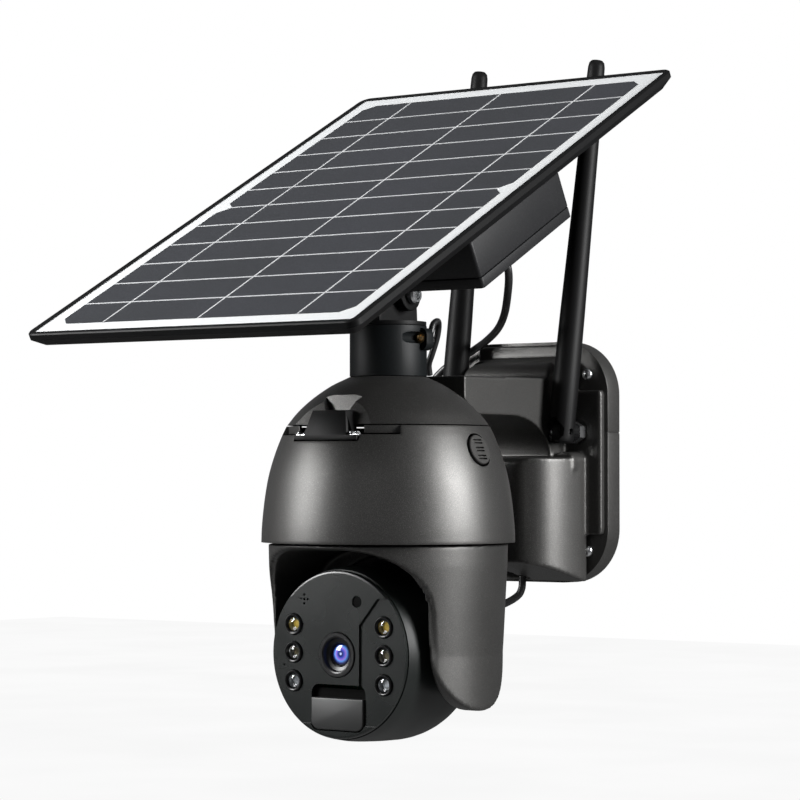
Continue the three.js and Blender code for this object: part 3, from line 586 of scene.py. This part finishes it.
# ------------------------------------------------------------------ housing with its arm
def shoulder_body():
    face, back = PLATE_LOW.y - 4, PLATE_LOW.y - 0.1
    slab = prism("housing_body", rounded(PLATE_HIGH.x - 1.5, PLATE_HIGH.z - 1.5, 23.5, steps=20), "Y", face, back)
    tools = []
    for side in (-1, 1):
        for z in (33 + 30, -33.5 - 30):
            tools.append(prism("pocket", rounded(20, 30, 7, side * 45, z), "Y", face - 20, back + 1))
    return cut(slab, *tools)


def box_outline(half, front, r):
    back = -13
    right = [(half, back), (half, back - 5)] + quadratic((half, back - 5), (half - 2, front), (half - r, front), 16)
    return right + [(-x, y) for x, y in reversed(right)]


def battery_box():
    outline = box_outline(35.5, -46, 19)
    body = prism("battery_box", outline, "Z", -60, 10)
    side = [(-12, 2), (-42.5, 2)] + arc(-42.5, -1.5, 3.5, 90, 180, 6) + [(-46, -46), (-16, -55), (-12, -55)]
    return common(body, prism("box_side", side, "X", -60, 60))


def arm_body():
    far = DOME_Y + 24
    outline = [(-13, 0), (-13, 43)] + quadratic((-13, 43), (-14, 47), (-18, 47), 5) + [(-22, 46)]
    outline += quadratic((-22, 46), (-27, 45), (-29, 38.5), 8)
    outline += [(far, 38), (far, 21), (-62, 21)] + quadratic((-62, 21), (-40, 21), (-31, 12), 10)
    outline += quadratic((-31, 12), (-26, 8), (-26, 0), 6)
    body = prism("arm", outline, "X", -24, 24)
    return common(body, prism("arm_front", rounded(24, 40, 7, 0, 7.2), "Y", far - 5, 1))


def housing():
    crown = prism("crown", rounded(30, 14, 9, 0, 34), "Y", -17, -12)
    ledge = [prism("ledge", rounded(6, 5.5, 4, side * 29.4, -1), "Y", -24, -12) for side in (-1, 1)]
    body = join(shoulder_body(), battery_box(), arm_body(), crown, *ledge)
    dome_clear = lathe("dome_clear", [(0, -70), (56.5, -70), (56.5, SKIRT_Z)]
                       + [(r + 0.4, z + 0.2) for r, z in DOME_PROFILE] + [(0, CAP_TOP + 0.3)], (0, DOME_Y, 0))
    neck = rod("neck_clear", "Z", 17.4, 30, 60, (0, DOME_Y, 0))
    lead = middle("charge_lead")
    exit_low, exit_high = lows_highs("charge_lead")
    cable_hole = rod("cable_hole", "Z", 3.6, -60, -47, (exit_high.x - 1.75, exit_high.y - 1.75, 0))
    notch = prism("notch", rounded(4.2, 9, 4, exit_high.x - 6.5, exit_high.y - 3.4), "Z", -60, -46)
    seats = [rod("seat", "Y", 5.6, -30, -13.2, (side * 31, 0, 13.8)) for side in (-1, 1)]
    cut(body, dome_clear, neck, cable_hole, notch, *seats)
    melt(body, 0.75, 5)
    piece(body, "root", "charcoal_plastic", CHARCOAL, "housing")


# ------------------------------------------------------------------ dome
DOME_PROFILE = [(55.8, -35.5), (55.5, -28), (54.4, -17.2), (52.7, -7), (50.2, 2), (47.2, 10), (44.8, 15.2),
                (40.2, 21), (35, 26), (29.5, 30.2), (24.5, 33.4), (20, 35.6), (17, 37)]


def dome_radius(z):
    for (r0, z0), (r1, z1) in zip(DOME_PROFILE, DOME_PROFILE[1:]):
        if z0 <= z <= z1:
            return r0 + (r1 - r0) * (z - z0) / (z1 - z0)
    return DOME_PROFILE[-1][0]


def sector(name, r0, r1, z0, z1, start, end, steps=40, slant=0.0):
    """A stretch of a ring about the dome's axis; angles run from the front towards +X."""
    outline = []
    for r, turn in ((r0, 1), (r1, -1)):
        angles = [radians(start + (end - start) * i / steps) for i in range(steps + 1)]
        if turn < 0:
            angles.reverse()
        outline += [(r * sin(a), DOME_Y - r * cos(a)) for a in angles]
    return prism(name, outline, "Z", z0, z1)


def dome_shell():
    outer = spline([p for p in DOME_PROFILE if p[1] <= PART_Z + 0.01], 5)
    inner = [(r - 2.5, z) for r, z in reversed(outer)]
    shell = lathe("dome_lower", outer + inner + outer[:1], (0, DOME_Y, 0), "Z", 160)
    slot = sector("slot", 43.9, 60, 11.2, 16, -46, 44)
    seat = block("seat", (-17.6, DOME_Y - 60, 8.4), (17.6, DOME_Y - 38.4, 20))
    recess = rod("recess", "X", 7.7, -6, 8, (0, 0, 0), 64)
    recess.data.transform(GRILLE_PLACE)
    cut(shell, slot, seat, recess)
    bevel(shell, 0.3, 2, 35)
    piece(shell, "root", "charcoal_plastic", CHARCOAL, "dome_shell")


def dome_cap():
    """The cap has a flat, nearly upright facet at the front, with a ramp sunk into its top."""
    start = PART_Z + 0.5
    upper = [(dome_radius(start), start)] + [p for p in DOME_PROFILE if p[1] > PART_Z + 1]
    outer = spline(upper, 5)
    inner = [(max(9, r - 2.5), z - (0 if z < 17 else 2.2)) for r, z in reversed(outer)]
    profile = outer + [(9, CAP_TOP)] + inner + outer[:1]
    cap = lathe("dome_upper", profile, (0, DOME_Y, 0), "Z", 160)
    low, high = (DOME_Y - 39.3, start), (DOME_Y - 33.6, 27.4)
    cut(cap, prism("wedge", [(low[0] - 20, start - 1), (low[0], start - 1), low, high, (high[0] - 30, 27.4)], "X", -30, 30))
    slab = [low, high, (high[0] + 9, 27.4), (low[0] + 7, start)]
    within = lathe("facet_round", [(0, start)] + outer + [(0, CAP_TOP)], (0, DOME_Y, 0), "Z", 96)
    join(cap, common(prism("facet", slab, "X", -24, 24), within))
    ramp = prism("ramp", [(-6.5, 21.6), (6.5, 21.6), (10.4, 28.6), (-10.4, 28.6)], "Y", DOME_Y - 50, DOME_Y - 20)
    floor_line = [(DOME_Y - 50, 21), (DOME_Y - 32.6, 21), (DOME_Y - 31.2, 29), (DOME_Y - 50, 29)]
    cut(cap, common(ramp, prism("ramp_side", floor_line, "X", -20, 20)))
    shade(cap, 25)
    piece(cap, "root", "charcoal_plastic", CHARCOAL, "dome_cap")


def hatch():
    """Flap on the dome's front: an upright face, a lip below and three-cornered cheeks."""
    pin = middle("hatch_pin")
    y, z = pin.y, pin.z
    face = y - 2.4
    core = [(face, z - 2.2), (y + 2, z - 2.2), (y + 5.6, z + 4), (y + 6.6, z + 10.4), (face + 3, z + 10.5), (face, z)]
    body = prism("hatch_flap", core, "X", -12, 12)
    front = [(-11.4, z - 2.5), (11.4, z - 2.5), (11.4, z + 1), (8.8, z + 11), (-8.8, z + 11), (-11.4, z + 1)]
    common(body, prism("front", front, "Y", y - 20, y + 20))
    lip = prism("lip", [(face, z - 2.2), (y + 1.8, z - 2.2), (y + 1.8, z - 0.2), (face, z - 0.2)], "X", -16.9, 16.9)
    cheeks = []
    for side in (-1, 1):
        corners = [(side * 8.4, z + 10.4), (side * 8.4, z - 1), (side * 15.4, z - 1), (side * 13, z + 1.4)]
        depth = [(y - 0.4, z - 1), (y + 3, z - 1), (y + 6.4, z + 10.4), (y + 1.4, z + 10.4)]
        cheeks.append(common(prism("cheek", corners, "Y", face, y + 10), prism("cheek_side", depth, "X", -20, 20)))
    join(body, lip, *cheeks)
    bevel(body, 0.25, 2)
    piece(body, "hatch", "black_plastic", BLACK, "hatch_cover")
    shaft = rod("hatch_hinge_pin", "X", 0.9, -16.9, 16.9, (0, y, z), 24)
    shade(shaft)
    piece(shaft, "root", "steel", STEEL, "hatch_pin")
    studs = [lathe("stud", [(0, face + 0.5), (0.5, face + 0.7), (0.8, face + 1.1), (0.8, y - 0.2), (0, y - 0.2)],
                   (x, 0, z + 0.9), "Y", 24) for x in (-15, 13.3, 16.2)]
    shine = join(studs[0], *studs[1:])
    shine.name = "hatch_studs"
    shade(shine)
    piece(shine, "hatch", "steel", STEEL)


def speaker():
    disc = lathe("speaker_disc", [(0, -1.8), (6.7, -1.8), (6.7, -0.3), (6.4, 0.05), (0, 0.15)], (0, 0, 0), "X", 64)
    slots = []
    for h in (-4.3, -2.9, -0.7, 0.7, 2.9, 4.3):
        slots.append(prism("slot", rounded(3, 0.36, 0.35, 0, h, 4), "X", -1.4, 2))
    cut(disc, *slots)
    disc.data.transform(GRILLE_PLACE)
    shade(disc, 30)
    piece(disc, "root", "charcoal_plastic", CHARCOAL, "speaker_grille")


# ------------------------------------------------------------------ neck, swivel and knuckle
def collar():
    low, high = COLLAR_LOW.z, COLLAR_HIGH.z
    ring = lathe("collar_ring", [(0, low), (17, low), (17, high), (14.3, high), (14.3, low + 3), (0, low + 3)],
                 (0, DOME_Y, 0), "Z", 128)
    insert = middle("brass_insert")
    lug = prism("lug", rounded(4.5, 4.9, 3.4, insert.x - 0.8, insert.z - 0.6), "Y", DOME_Y + 1, DOME_Y + 6)
    join(ring, lug)
    bore = rod("bore", "Z", 14.3, low + 3, high + 5, (0, DOME_Y, 0), 96)
    hole = rod("hole", "Y", 2.6, DOME_Y - 9, DOME_Y + 12, (insert.x, 0, insert.z))
    cut(ring, bore, hole)
    bevel(ring, 0.4, 3)
    piece(ring, "root", "gloss_black", GLOSS, "collar")
    y = insert.y
    thread = lathe("insert_ring", [(2.4, y - 2.2), (2.4, y + 2.2), (1.3, y + 2.2), (1.3, y - 1.8), (1.7, y - 2.2),
                                   (2.4, y - 2.2)], (insert.x, 0, insert.z), "Y", 48)
    shade(thread)
    piece(thread, "root", "brass", BRASS, "brass_insert")


def swivel():
    low, high = lows_highs("swivel_post")
    flange = COLLAR_HIGH.z + 0.3
    stem = lathe("post_stem", [(0, low.z), (13.7, low.z), (13.7, flange), (16.8, flange), (16.8, flange + 1.7),
                               (0, flange + 1.7)], (0, DOME_Y, 0), "Z", 96)
    y, z = KNUCKLE.y, KNUCKLE.z
    side = [(DOME_Y - 13.9, flange + 1), (DOME_Y + 13.9, flange + 1), (DOME_Y + 13.1, z)]
    side += arc(y, z, 9.5, 0, 180, 24) + [(DOME_Y - 13.9, flange + 8)]
    tongue = prism("tongue", side, "X", -5.7, 5.7)
    join(stem, tongue)
    cut(stem, rod("bore", "X", 2.3, -20, 20, (0, y, z)))
    bevel(stem, 0.5, 3)
    piece(stem, "swivel", "black_plastic", BLACK, "swivel_post")


# ------------------------------------------------------------------ panel
def in_panel(obj):
    obj.data.transform(PANEL_PLACE)
    return obj


def panel_frame():
    hx, hy = PANEL_HALF
    bm = bmesh.new()
    rings = []
    for grow, z in ((-0.5, 0), (0, -0.5), (0, -3), (-1.2, -4.2), (-4, -7)):
        ring = rounded(hx + grow, hy + grow, 5 + grow * 0.4, steps=12)
        rings.append([bm.verts.new((x * MM, y * MM, z * MM)) for x, y in ring])
    for a, b in zip(rings, rings[1:]):
        for i in range(len(a)):
            j = (i + 1) % len(a)
            bm.faces.new([a[i], a[j], b[j], b[i]])
    bm.faces.new(rings[0])
    bm.faces.new(rings[-1])
    body = make_object("frame_moulding", bm)
    cut(body, prism("tray", rounded(85.4, 129.9, 1.5), "Z", -2.5, 5))
    in_panel(shade(body, 28))
    piece(body, "panel", "panel_black", PANEL_BLACK, "panel_frame")


def cell_lines():
    """White lines on the cells: the gaps between rows, and three ribbons along the panel."""
    pitch, count = 20.32, 12
    bars = []
    for n in (-1, 0, 1):
        bars.append(prism("bar", rounded(0.36, 121.4, 0.3, n * 52, 0, 2), "Z", CELL_TOP - 0.2, CELL_TOP + 0.1))
    for i in range(1, count):
        y = (i - count / 2) * pitch
        half = 78 if i != count / 2 else 74
        bars.append(prism("gap", rounded(half, 0.43, 0.3, 0, y, 2), "Z", CELL_TOP - 0.3, CELL_TOP + 0.06))
    body = join(bars[0], *bars[1:])
    body.name = "cell_lines"
    in_panel(shade(body))
    piece(body, "panel", "backsheet_white", LINE_WHITE)


def panel_sheet():
    """White laminate, level with the cells."""
    body = prism("sheet_laminate", rounded(85.2, 129.7, 1.2), "Z", -2.2, CELL_TOP - 0.08)
    in_panel(shade(body))
    piece(body, "panel", "backsheet_white", SHEET, "backsheet")


def panel_box():
    low, high = -28, -7.3
    cy, hy, hx = -5.0, 37.0, 83.5
    shell = prism("battery_shell", rounded(hx, hy, 1.6, 0, cy, 5), "Z", low + 4.9, high)
    cut(shell, prism("room", rounded(hx - 2.5, hy - 2.5, 1, 0, cy, 5), "Z", low, high - 2.5))
    bevel(shell, 0.4, 3)
    in_panel(shell)
    piece(shell, "panel", "black_plastic", BOX_BLACK, "panel_box")
    lid = prism("battery_lid", rounded(hx, hy, 1.6, 0, cy, 5), "Z", low, low + 4.6)
    gland = middle("panel_gland")
    cut(lid, prism("room", rounded(hx - 2.5, hy - 2.5, 1, 0, cy, 5), "Z", low + 2.5, low + 6),
        rod("hole", "Z", 3.5, low - 1, low + 9, (58, 12, 0)))
    bevel(lid, 0.6, 3)
    in_panel(lid)
    piece(lid, "panel", "black_plastic", BOX_BLACK, "panel_box_lid")
    nut = lathe("gland_nut", [(1.9, low - 6), (3, low - 6), (4.6, low - 3.2), (4.6, low - 0.3), (3.2, low - 0.3),
                              (3.2, low + 4), (1.9, low + 4), (1.9, low - 6)], (58, 12, 0), "Z", 48)
    in_panel(shade(nut))
    piece(nut, "panel", "black_plastic", BLACK, "panel_gland")


BOX_BLACK = moulded("box_black", (0.011, 0.0112, 0.012), 0.42, 0.0, 0.2, 1800, 0.3, Specular_IOR_Level=0.15)


def knuckle_in_panel():
    place = PANEL_PLACE.inverted() @ (KNUCKLE * MM)
    return place / MM


def bracket():
    k = knuckle_in_panel()
    top = -28.3
    foot = prism("bracket_foot", rounded(24, 15, 3, 0, k.y), "Z", top - 3, top)
    ears = []
    for a, b in ((6, 10.5), (-10.5, -6)):
        outline = [(k.y - 11, top - 2), (k.y - 7, k.z)] + arc(k.y, k.z, 7, 180, 360, 24) + [(k.y + 11, top - 2)]
        ears.append(prism("ear", outline, "X", a, b))
    join(foot, *ears)
    cut(foot, rod("bore", "X", 2.3, -30, 30, (0, k.y, k.z)))
    bevel(foot, 0.5, 3)
    in_panel(foot)
    piece(foot, "panel", "black_plastic", BLACK, "panel_bracket")
    bolt = lathe("bolt_body", [(0, -14.5), (2, -14.5), (2, 10.8), (3.9, 10.8), (3.9, 13), (3.2, 13.8), (2.2, 13.8),
                               (2.0, 12.2), (0, 12.2)], (0, k.y, k.z), "X", 32)
    in_panel(shade(bolt))
    piece(bolt, "panel", "steel", STEEL, "tilt_bolt")
    hexagon = [(k.y + 3.9 * cos(pi / 3 * i), k.z + 3.9 * sin(pi / 3 * i)) for i in range(6)]
    nut = prism("bolt_nut", hexagon, "X", -13.8, -10.8)
    cut(nut, rod("bore", "X", 2.15, -20, 0, (0, k.y, k.z)))
    bevel(nut, 0.3, 2)
    in_panel(nut)
    piece(nut, "panel", "steel", STEEL, "tilt_nut")


# ------------------------------------------------------------------ yoke
def arch_outline(grow):
    x, top = 41.8 + grow, -37.6 + grow * 0.3
    side = quadratic((x, -66), (x, top), (8, top - 0.6), 24)
    return [(-x, -140), (x, -140), (x, -66)] + side + [(-a, b) for a, b in reversed(side)] + [(-x, -66)]


def yoke():
    drum_top = SKIRT_Z - 0.7
    z = HEAD.z
    profile = [(0, drum_top - 90), (50.4, drum_top - 90), (50.4, z), (51.6, -60), (52.4, -45), (52.6, drum_top),
               (0, drum_top)]
    drum = lathe("yoke_body", profile, (0, DOME_Y, 0), "Z", 128)
    side = [(-60, drum_top + 1), (60, drum_top + 1), (60, z + 22)]
    side += quadratic((60, z + 22), (31, z + 16), (28.8, z + 3.8), 14)
    side += arc(1, z + 3.8, 27.8, 0, -180, 48)
    side += quadratic((-26.8, z + 3.8), (-27.5, z + 24), (-60, z + 34), 14)
    common(drum, prism("side", [(DOME_Y + u, v) for u, v in side], "X", -60, 60))
    mouth = prism("mouth", arch_outline(0), "Y", DOME_Y - 60, DOME_Y)
    room = lathe("room", [(0, -42.3)] + [(42.3 * cos(radians(a)), 42.3 * sin(radians(a))) for a in range(-80, 81, 10)]
                 + [(0, 42.3)], (0, DOME_Y, z), "Z", 96)
    under = block("under", (-41.8, DOME_Y, -140), (41.8, DOME_Y + 70, z + 2))
    step = prism("step", arch_outline(2.4), "Y", DOME_Y - 60, DOME_Y - 14)
    cut(step, rod("core", "Z", 50.2, -150, 0, (0, DOME_Y, 0), 128))
    cut(drum, mouth, room, under, step)
    melt(drum, 0.7, 6)
    piece(drum, "yoke", "charcoal_plastic", CHARCOAL, "yoke")


# ------------------------------------------------------------------ tilting head
def head_shell():
    z = HEAD.z
    back = [(39 * cos(radians(a)), 39 * sin(radians(a))) for a in range(0, 91, 5)]
    inner = [(36.6 * cos(radians(a)), 36.6 * sin(radians(a))) for a in range(90, -1, -5)]
    front = spline([(36.6, -33.6), (37.8, -26), (38.7, -12), (39, 0)], 5)
    profile = front[:-1] + back + inner + [(34.6, -33.6), (36.6, -33.6)]
    shell = lathe("head_back", profile, (0, DOME_Y, z), "Y", 128)
    shade(shell, 40)
    piece(shell, "head", "face_black", BALL, "ball_shell")


def face_plate():
    y, z = FACE_Y, HEAD.z
    disc = lathe("face_disc", [(0, y), (34.9, y), (35.3, y), (35.8, y + 0.2), (36.2, y + 0.9), (36.2, y + 2.4), (0, y + 2.4)],
                 (0, 0, z), "Y", 128)
    tools = []
    for s in (-1, 1):
        outline = [(s * 11.8, z - 30), (s * 11.8, z + 13), (s * 21.5, z + 24.5), (s * 45, z + 24.5), (s * 45, z - 30)]
        tools.append(prism("pocket", outline, "Y", y - 1, y + 0.9))
        for h in (12.5, 0.4, -12):
            tools.append(rod("led_hole", "Y", 4.8, y - 1, y + 5, (s * 24.5, 0, z + h)))
    for dx, dz in ((0, 0), (1.9, 0), (-1.9, 0), (0, 2), (0, -2)):
        tools.append(rod("mic", "Y", 0.62, y - 1, y + 1.5, (-18.2 + dx, 0, z + 23.5 + dz), 20))
    tools.append(rod("lens_hole", "Y", 9.9, y - 1, y + 5, (0, 0, z), 64))
    tools.append(rod("eye", "Y", 2.6, y - 1, y + 5, (10.6, 0, z + 23), 32))
    tools.append(rod("reset", "Y", 0.5, y - 1, y + 1.5, (-30, 0, z - 5.2), 16))
    tools.append(prism("pir", rounded(14.7, 10, 4, 0, z - 22.8), "Y", y - 1, y + 5))
    cut(disc, *tools)
    bevel(disc, 0.22, 2, 35)
    piece(disc, "head", "face_black", FACE, "face_plate")


def optics():
    y, z = FACE_Y, HEAD.z
    barrel = lathe("barrel", [(4.6, y + 3), (5.4, y + 1.6), (6.9, y + 1.2), (7.4, y - 0.3), (8.0, y - 0.6),
                              (9.3, y - 0.6), (9.6, y - 0.3), (9.6, y + 12), (0, y + 12), (0, y + 6), (4.6, y + 6),
                              (4.6, y + 3)], (0, 0, z), "Y", 96)
    shade(barrel, 25)
    piece(barrel, "head", "black_plastic", LENS_BLACK, "lens_barrel")
    dome = [(0, y + 1.6)] + [(4.5 * sin(radians(a)), y + 2.8 - 1.2 * cos(radians(a))) for a in range(10, 91, 10)]
    glass = lathe("front_lens", dome + [(4.5, y + 5.4), (0, y + 5.4)], (0, 0, z), "Y", 64)
    shade(glass, 50)
    piece(glass, "head", "lens_glass", LENS, "lens_glass")
    eye = lathe("sensor_window", [(0, y + 0.35), (2.3, y + 0.5), (2.3, y + 3), (0, y + 3)], (10.6, 0, z + 23), "Y", 32)
    shade(eye)
    piece(eye, "head", "gloss_black", BLACK_AND_PAINTED_SHADE, "light_sensor")


LENS_BLACK = moulded("lens_black", (0.004, 0.004, 0.0043), 0.3, 0.0, 0.05, 900, 0.2, Specular_IOR_Level=0.4)


def led(side, row, chip):
    name = "left" if side < 0 else "right"
    h = (12.5, 0.4, -12)[row]
    y = FACE_Y + 0.9
    at = (side * 24.5, 0, HEAD.z + h)
    ring = lathe(f"led_ring_{name}_{row + 1}", [(3.5, y + 0.3), (3.7, y - 0.9), (4.1, y - 1.1), (4.5, y - 0.6),
                                                (4.5, y + 6.4), (0, y + 6.4), (0, y + 5), (3.3, y + 5), (3.5, y + 0.3)],
                 at, "Y", 48)
    shade(ring)
    piece(ring, "head", "black_plastic", LENS_BLACK, f"led_{name}_{row + 1}")
    cup = lathe(f"led_cup_{name}_{row + 1}", [(3.25, y + 0.6), (3.1, y + 0.6), (1.3, y + 4.2), (0, y + 4.4),
                                              (0, y + 4.8), (3.2, y + 4.8), (3.25, y + 0.6)], at, "Y", 40)
    shade(cup)
    piece(cup, "head", "steel", CHROME)
    bead = lathe(f"led_chip_{name}_{row + 1}", [(0, y + 1.6), (1.4, y + 1.9), (2.1, y + 2.6), (1.9, y + 4.1),
                                                (0, y + 4.1)], at, "Y", 32)
    shade(bead)
    piece(bead, "head", "led_lens", chip)
    lens = [(0, y - 0.9)] + [(3.2 * sin(radians(a)), y + 0.4 - 1.3 * cos(radians(a))) for a in range(15, 91, 15)]
    dome = lathe(f"led_dome_{name}_{row + 1}", lens + [(3.2, y + 0.55), (0, y + 0.55)], at, "Y", 40)
    shade(dome, 50)
    piece(dome, "head", "led_lens", CLEAR)


def motion_sensor():
    y, z = FACE_Y, HEAD.z
    outline = [(-14.2, z - 18.6)] + arc(-10.2, z - 28.4, 4, 180, 270, 8) + arc(10.2, z - 28.4, 4, 270, 360, 8)
    outline += [(14.2, z - 18.6)]
    cover = prism("motion_cover", outline, "Y", y - 0.3, y + 4)
    bevel(cover, 0.6, 3)
    piece(cover, "head", "face_black", FRESNEL, "pir_cover")
    # A near-black sheet at the back of the gap above the cover: painted shade where there is only a recess.
    back = prism("motion_recess_painted_shade", rounded(14.3, 2.4, 0.4, 0, z - 17), "Y", y + 3, y + 4)
    shade(back)
    piece(back, "head", "face_black", BLACK_AND_PAINTED_SHADE)


FRESNEL = moulded("fresnel", (0.0088, 0.0094, 0.0091), 0.45, 0.0, 0.05, 1500, 0.1)


# ------------------------------------------------------------------ antennas
def antenna(side):
    name = "right" if side > 0 else "left"
    low, high = lows_highs(f"antenna_rod_{name}")
    pin = middle(f"antenna_pin_{name}")
    tip_r = 3.9
    base = Vector((pin.x, pin.y, low.z))
    lean_x = (high.x - tip_r) - pin.x if side > 0 else 2.2
    tip = Vector((pin.x + lean_x, high.y - tip_r, high.z))
    along = tip - base
    length = along.length
    profile = [(0, 0.2), (4.6, 0.2), (5.7, 0.9), (6.1, 2.2), (6.1, 30), (6.0, 33), (5.75, 60), (5.0, 108),
               (4.25, length - 16), (4.05, length - 8), (3.9, length - 3.4), (3.5, length - 1.4), (2.6, length - 0.4),
               (0, length)]
    body = lathe(f"rod_{name}", profile, (0, 0, 0), "Z", 64)
    fork = block("fork", (-2.7, -20, -5), (2.7, 20, 11.5))
    clear = rod("clear", "Y", 5.7, 2.6, 12, (0, 0, 5))
    cut(body, fork, clear)
    bevel(body, 0.3, 2, 40)
    turn = along.to_track_quat("Z", "Y").to_matrix().to_4x4()
    body.data.transform(Matrix.Translation(base * MM) @ turn)
    cut(body, rod("bore", "X", 1.5, pin.x - 20, pin.x + 20, (0, pin.y, pin.z)))
    shade(body, 32)
    piece(body, f"antenna_{name}", "black_plastic", BLACK, f"antenna_rod_{name}")
    x, z = pin.x, pin.z
    nut = rod(f"elbow_{name}", "Y", 4.9, pin.y + 3.9, -19.3, (x, 0, z), 64)
    tongue = prism("tongue", rounded(4.2, 4.6, 4, pin.y + 0.8, z, 8), "X", x - 2.2, x + 2.2)
    join(nut, tongue)
    grooves = [block("groove", (-0.35, -25, 4.55), (0.35, -19, 6)) for _ in range(20)]
    for i, groove in enumerate(grooves):
        spin = Matrix.Translation(Vector((x, 0, z)) * MM) @ Matrix.Rotation(2 * pi * i / 20, 4, "Y")
        groove.data.transform(spin)
    cut(nut, rod("bore", "Y", 3.3, -24, -10, (x, 0, z)), rod("pin", "X", 1.5, x - 20, x + 20, (0, pin.y, z)), *grooves)
    bevel(nut, 0.12, 2)
    piece(nut, f"elbow_{name}", "black_plastic", BLACK, f"antenna_elbow_{name}")
    shaft = rod(f"fold_pin_{name}", "X", 1.2, x - 4.8, x + 4.8, (0, pin.y, z), 24)
    bevel(shaft, 0.2, 2)
    piece(shaft, f"elbow_{name}", "steel", STEEL, f"antenna_pin_{name}")


# ------------------------------------------------------------------ cables
SOLAR_LEAD = [
    (58, -113.4, 92), (58, -110.4, 86.4), (57, -107, 80), (48, -95, 72.6), (30.6, -72.5, 65.8),
    (11.1, -49.7, 60.8), (-9.1, -29.8, 56.8), (-24.6, -17, 53.8), (-32.4, -14.2, 51), (-38, -14.6, 48.5),
    (-45.4, -16, 43.4), (-50.2, -16.4, 37.5), (-50.4, -14.6, 28), (-49, -13.2, 14), (-48, -13.8, 2),
    (-44.4, -16.6, -8), (-39.6, -17.6, -12.4), (-36.2, -17.6, -13)]
NECK_LOOP = [
    (-1, -86, 39), (0, -88, 43.5), (2.5, -89, 48), (5.1, -89, 54.8), (6.9, -90, 59.8), (8.7, -93, 62.4),
    (9.2, -97, 61), (9.3, -99, 57), (9, -100.4, 53.6), (8.6, -101.5, 51)]
CHARGE_LEAD = [
    (4, -20, -52), (4, -20, -57), (3.7, -20.3, -59.3), (3, -21, -61.4), (1.7, -22.2, -63), (0, -23.6, -64.4),
    (-2.1, -25.4, -65.8), (-4.5, -27.5, -67), (-7.6, -30.2, -68.3), (-11, -33, -69.6), (-14.5, -35.8, -71),
    (-18, -38.5, -72.6), (-21.4, -40.7, -74.6), (-24.5, -42.6, -77), (-26.5, -43.9, -79.6),
    (-28, -44.8, -82.5), (-28.6, -45.2, -85.2), (-29, -45.4, -88)]


def bending_cable(name, route):
    """A stretch of cable, turned into a mesh with the cable finish."""
    line = tube(name + "_line", route, 1.75)
    graph = bpy.context.evaluated_depsgraph_get()
    mesh = bpy.data.meshes.new_from_object(line.evaluated_get(graph))
    bpy.data.objects.remove(line)
    obj = bpy.data.objects.new(name, mesh)
    bpy.context.scene.collection.objects.link(obj)
    obj.data.materials.clear()
    obj.data.materials.append(RUBBER)
    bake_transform(obj)
    return obj


def cables():
    route = spline(SOLAR_LEAD, 5)
    joined = 4 * 5
    upper = bending_cable("solar_cable_upper", route[:joined + 1])
    lower = bending_cable("solar_cable_lower", route[joined:])
    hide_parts("solar_lead")
    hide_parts("solar_lead")
    loop = cable("neck_cable", NECK_LOOP, 1.45)
    piece(loop, "root", "cable_black", RUBBER, "neck_loop")
    charge = cable("charge_cable", CHARGE_LEAD, 1.75, 2)
    piece(charge, "root", "cable_black", RUBBER, "charge_lead")
    low, high = lows_highs("charge_socket")
    mid = (low + high) / 2
    top = high.z
    plug = lathe("charge_plug", [(0, low.z), (3.6, low.z), (4.3, low.z + 0.6), (4.6, low.z + 1.6), (4.6, top - 6),
                                 (4.2, top - 5), (2.9, top - 4), (2.5, top), (0, top)], (mid.x, mid.y, 0), "Z", 48)
    shade(plug, 40)
    piece(plug, "root", "black_plastic", BLACK, "charge_socket")


# ------------------------------------------------------------------ pieces whose CAD shape stays
def finish_cad_nodes():
    finishes = {"circuit_board": BOARD, "motor_can": CAN, "cell_wrap": WRAP, "steel": STEEL,
                "backsheet_white": SHEET, "cell_silicon": CELL, "black_plastic": BLACK, "gloss_black": GLOSS,
                "charcoal_plastic": CHARCOAL, "brass": BRASS, "face_black": FACE, "cable_black": RUBBER,
                "lens_glass": LENS, "led_lens": CLEAR, "panel_black": PANEL_BLACK}
    for part in frame["record"]["subparts"]:
        obj = frame["nodes"][part["node"]]
        for material_slot in obj.material_slots:
            material_slot.material = finishes[part["material_slot"]]


finish_cad_nodes()
wall_plate()
wall_screws()
housing()
dome_shell()
dome_cap()
hatch()
speaker()
collar()
swivel()
panel_frame()
panel_sheet()
cell_lines()
panel_box()
bracket()
yoke()
head_shell()
face_plate()
optics()
for led_side in (-1, 1):
    for led_row, led_chip in enumerate((PHOSPHOR, INFRARED, WHITE_CHIP)):
        led(led_side, led_row, led_chip)
motion_sensor()
antenna(-1)
antenna(1)
cables()
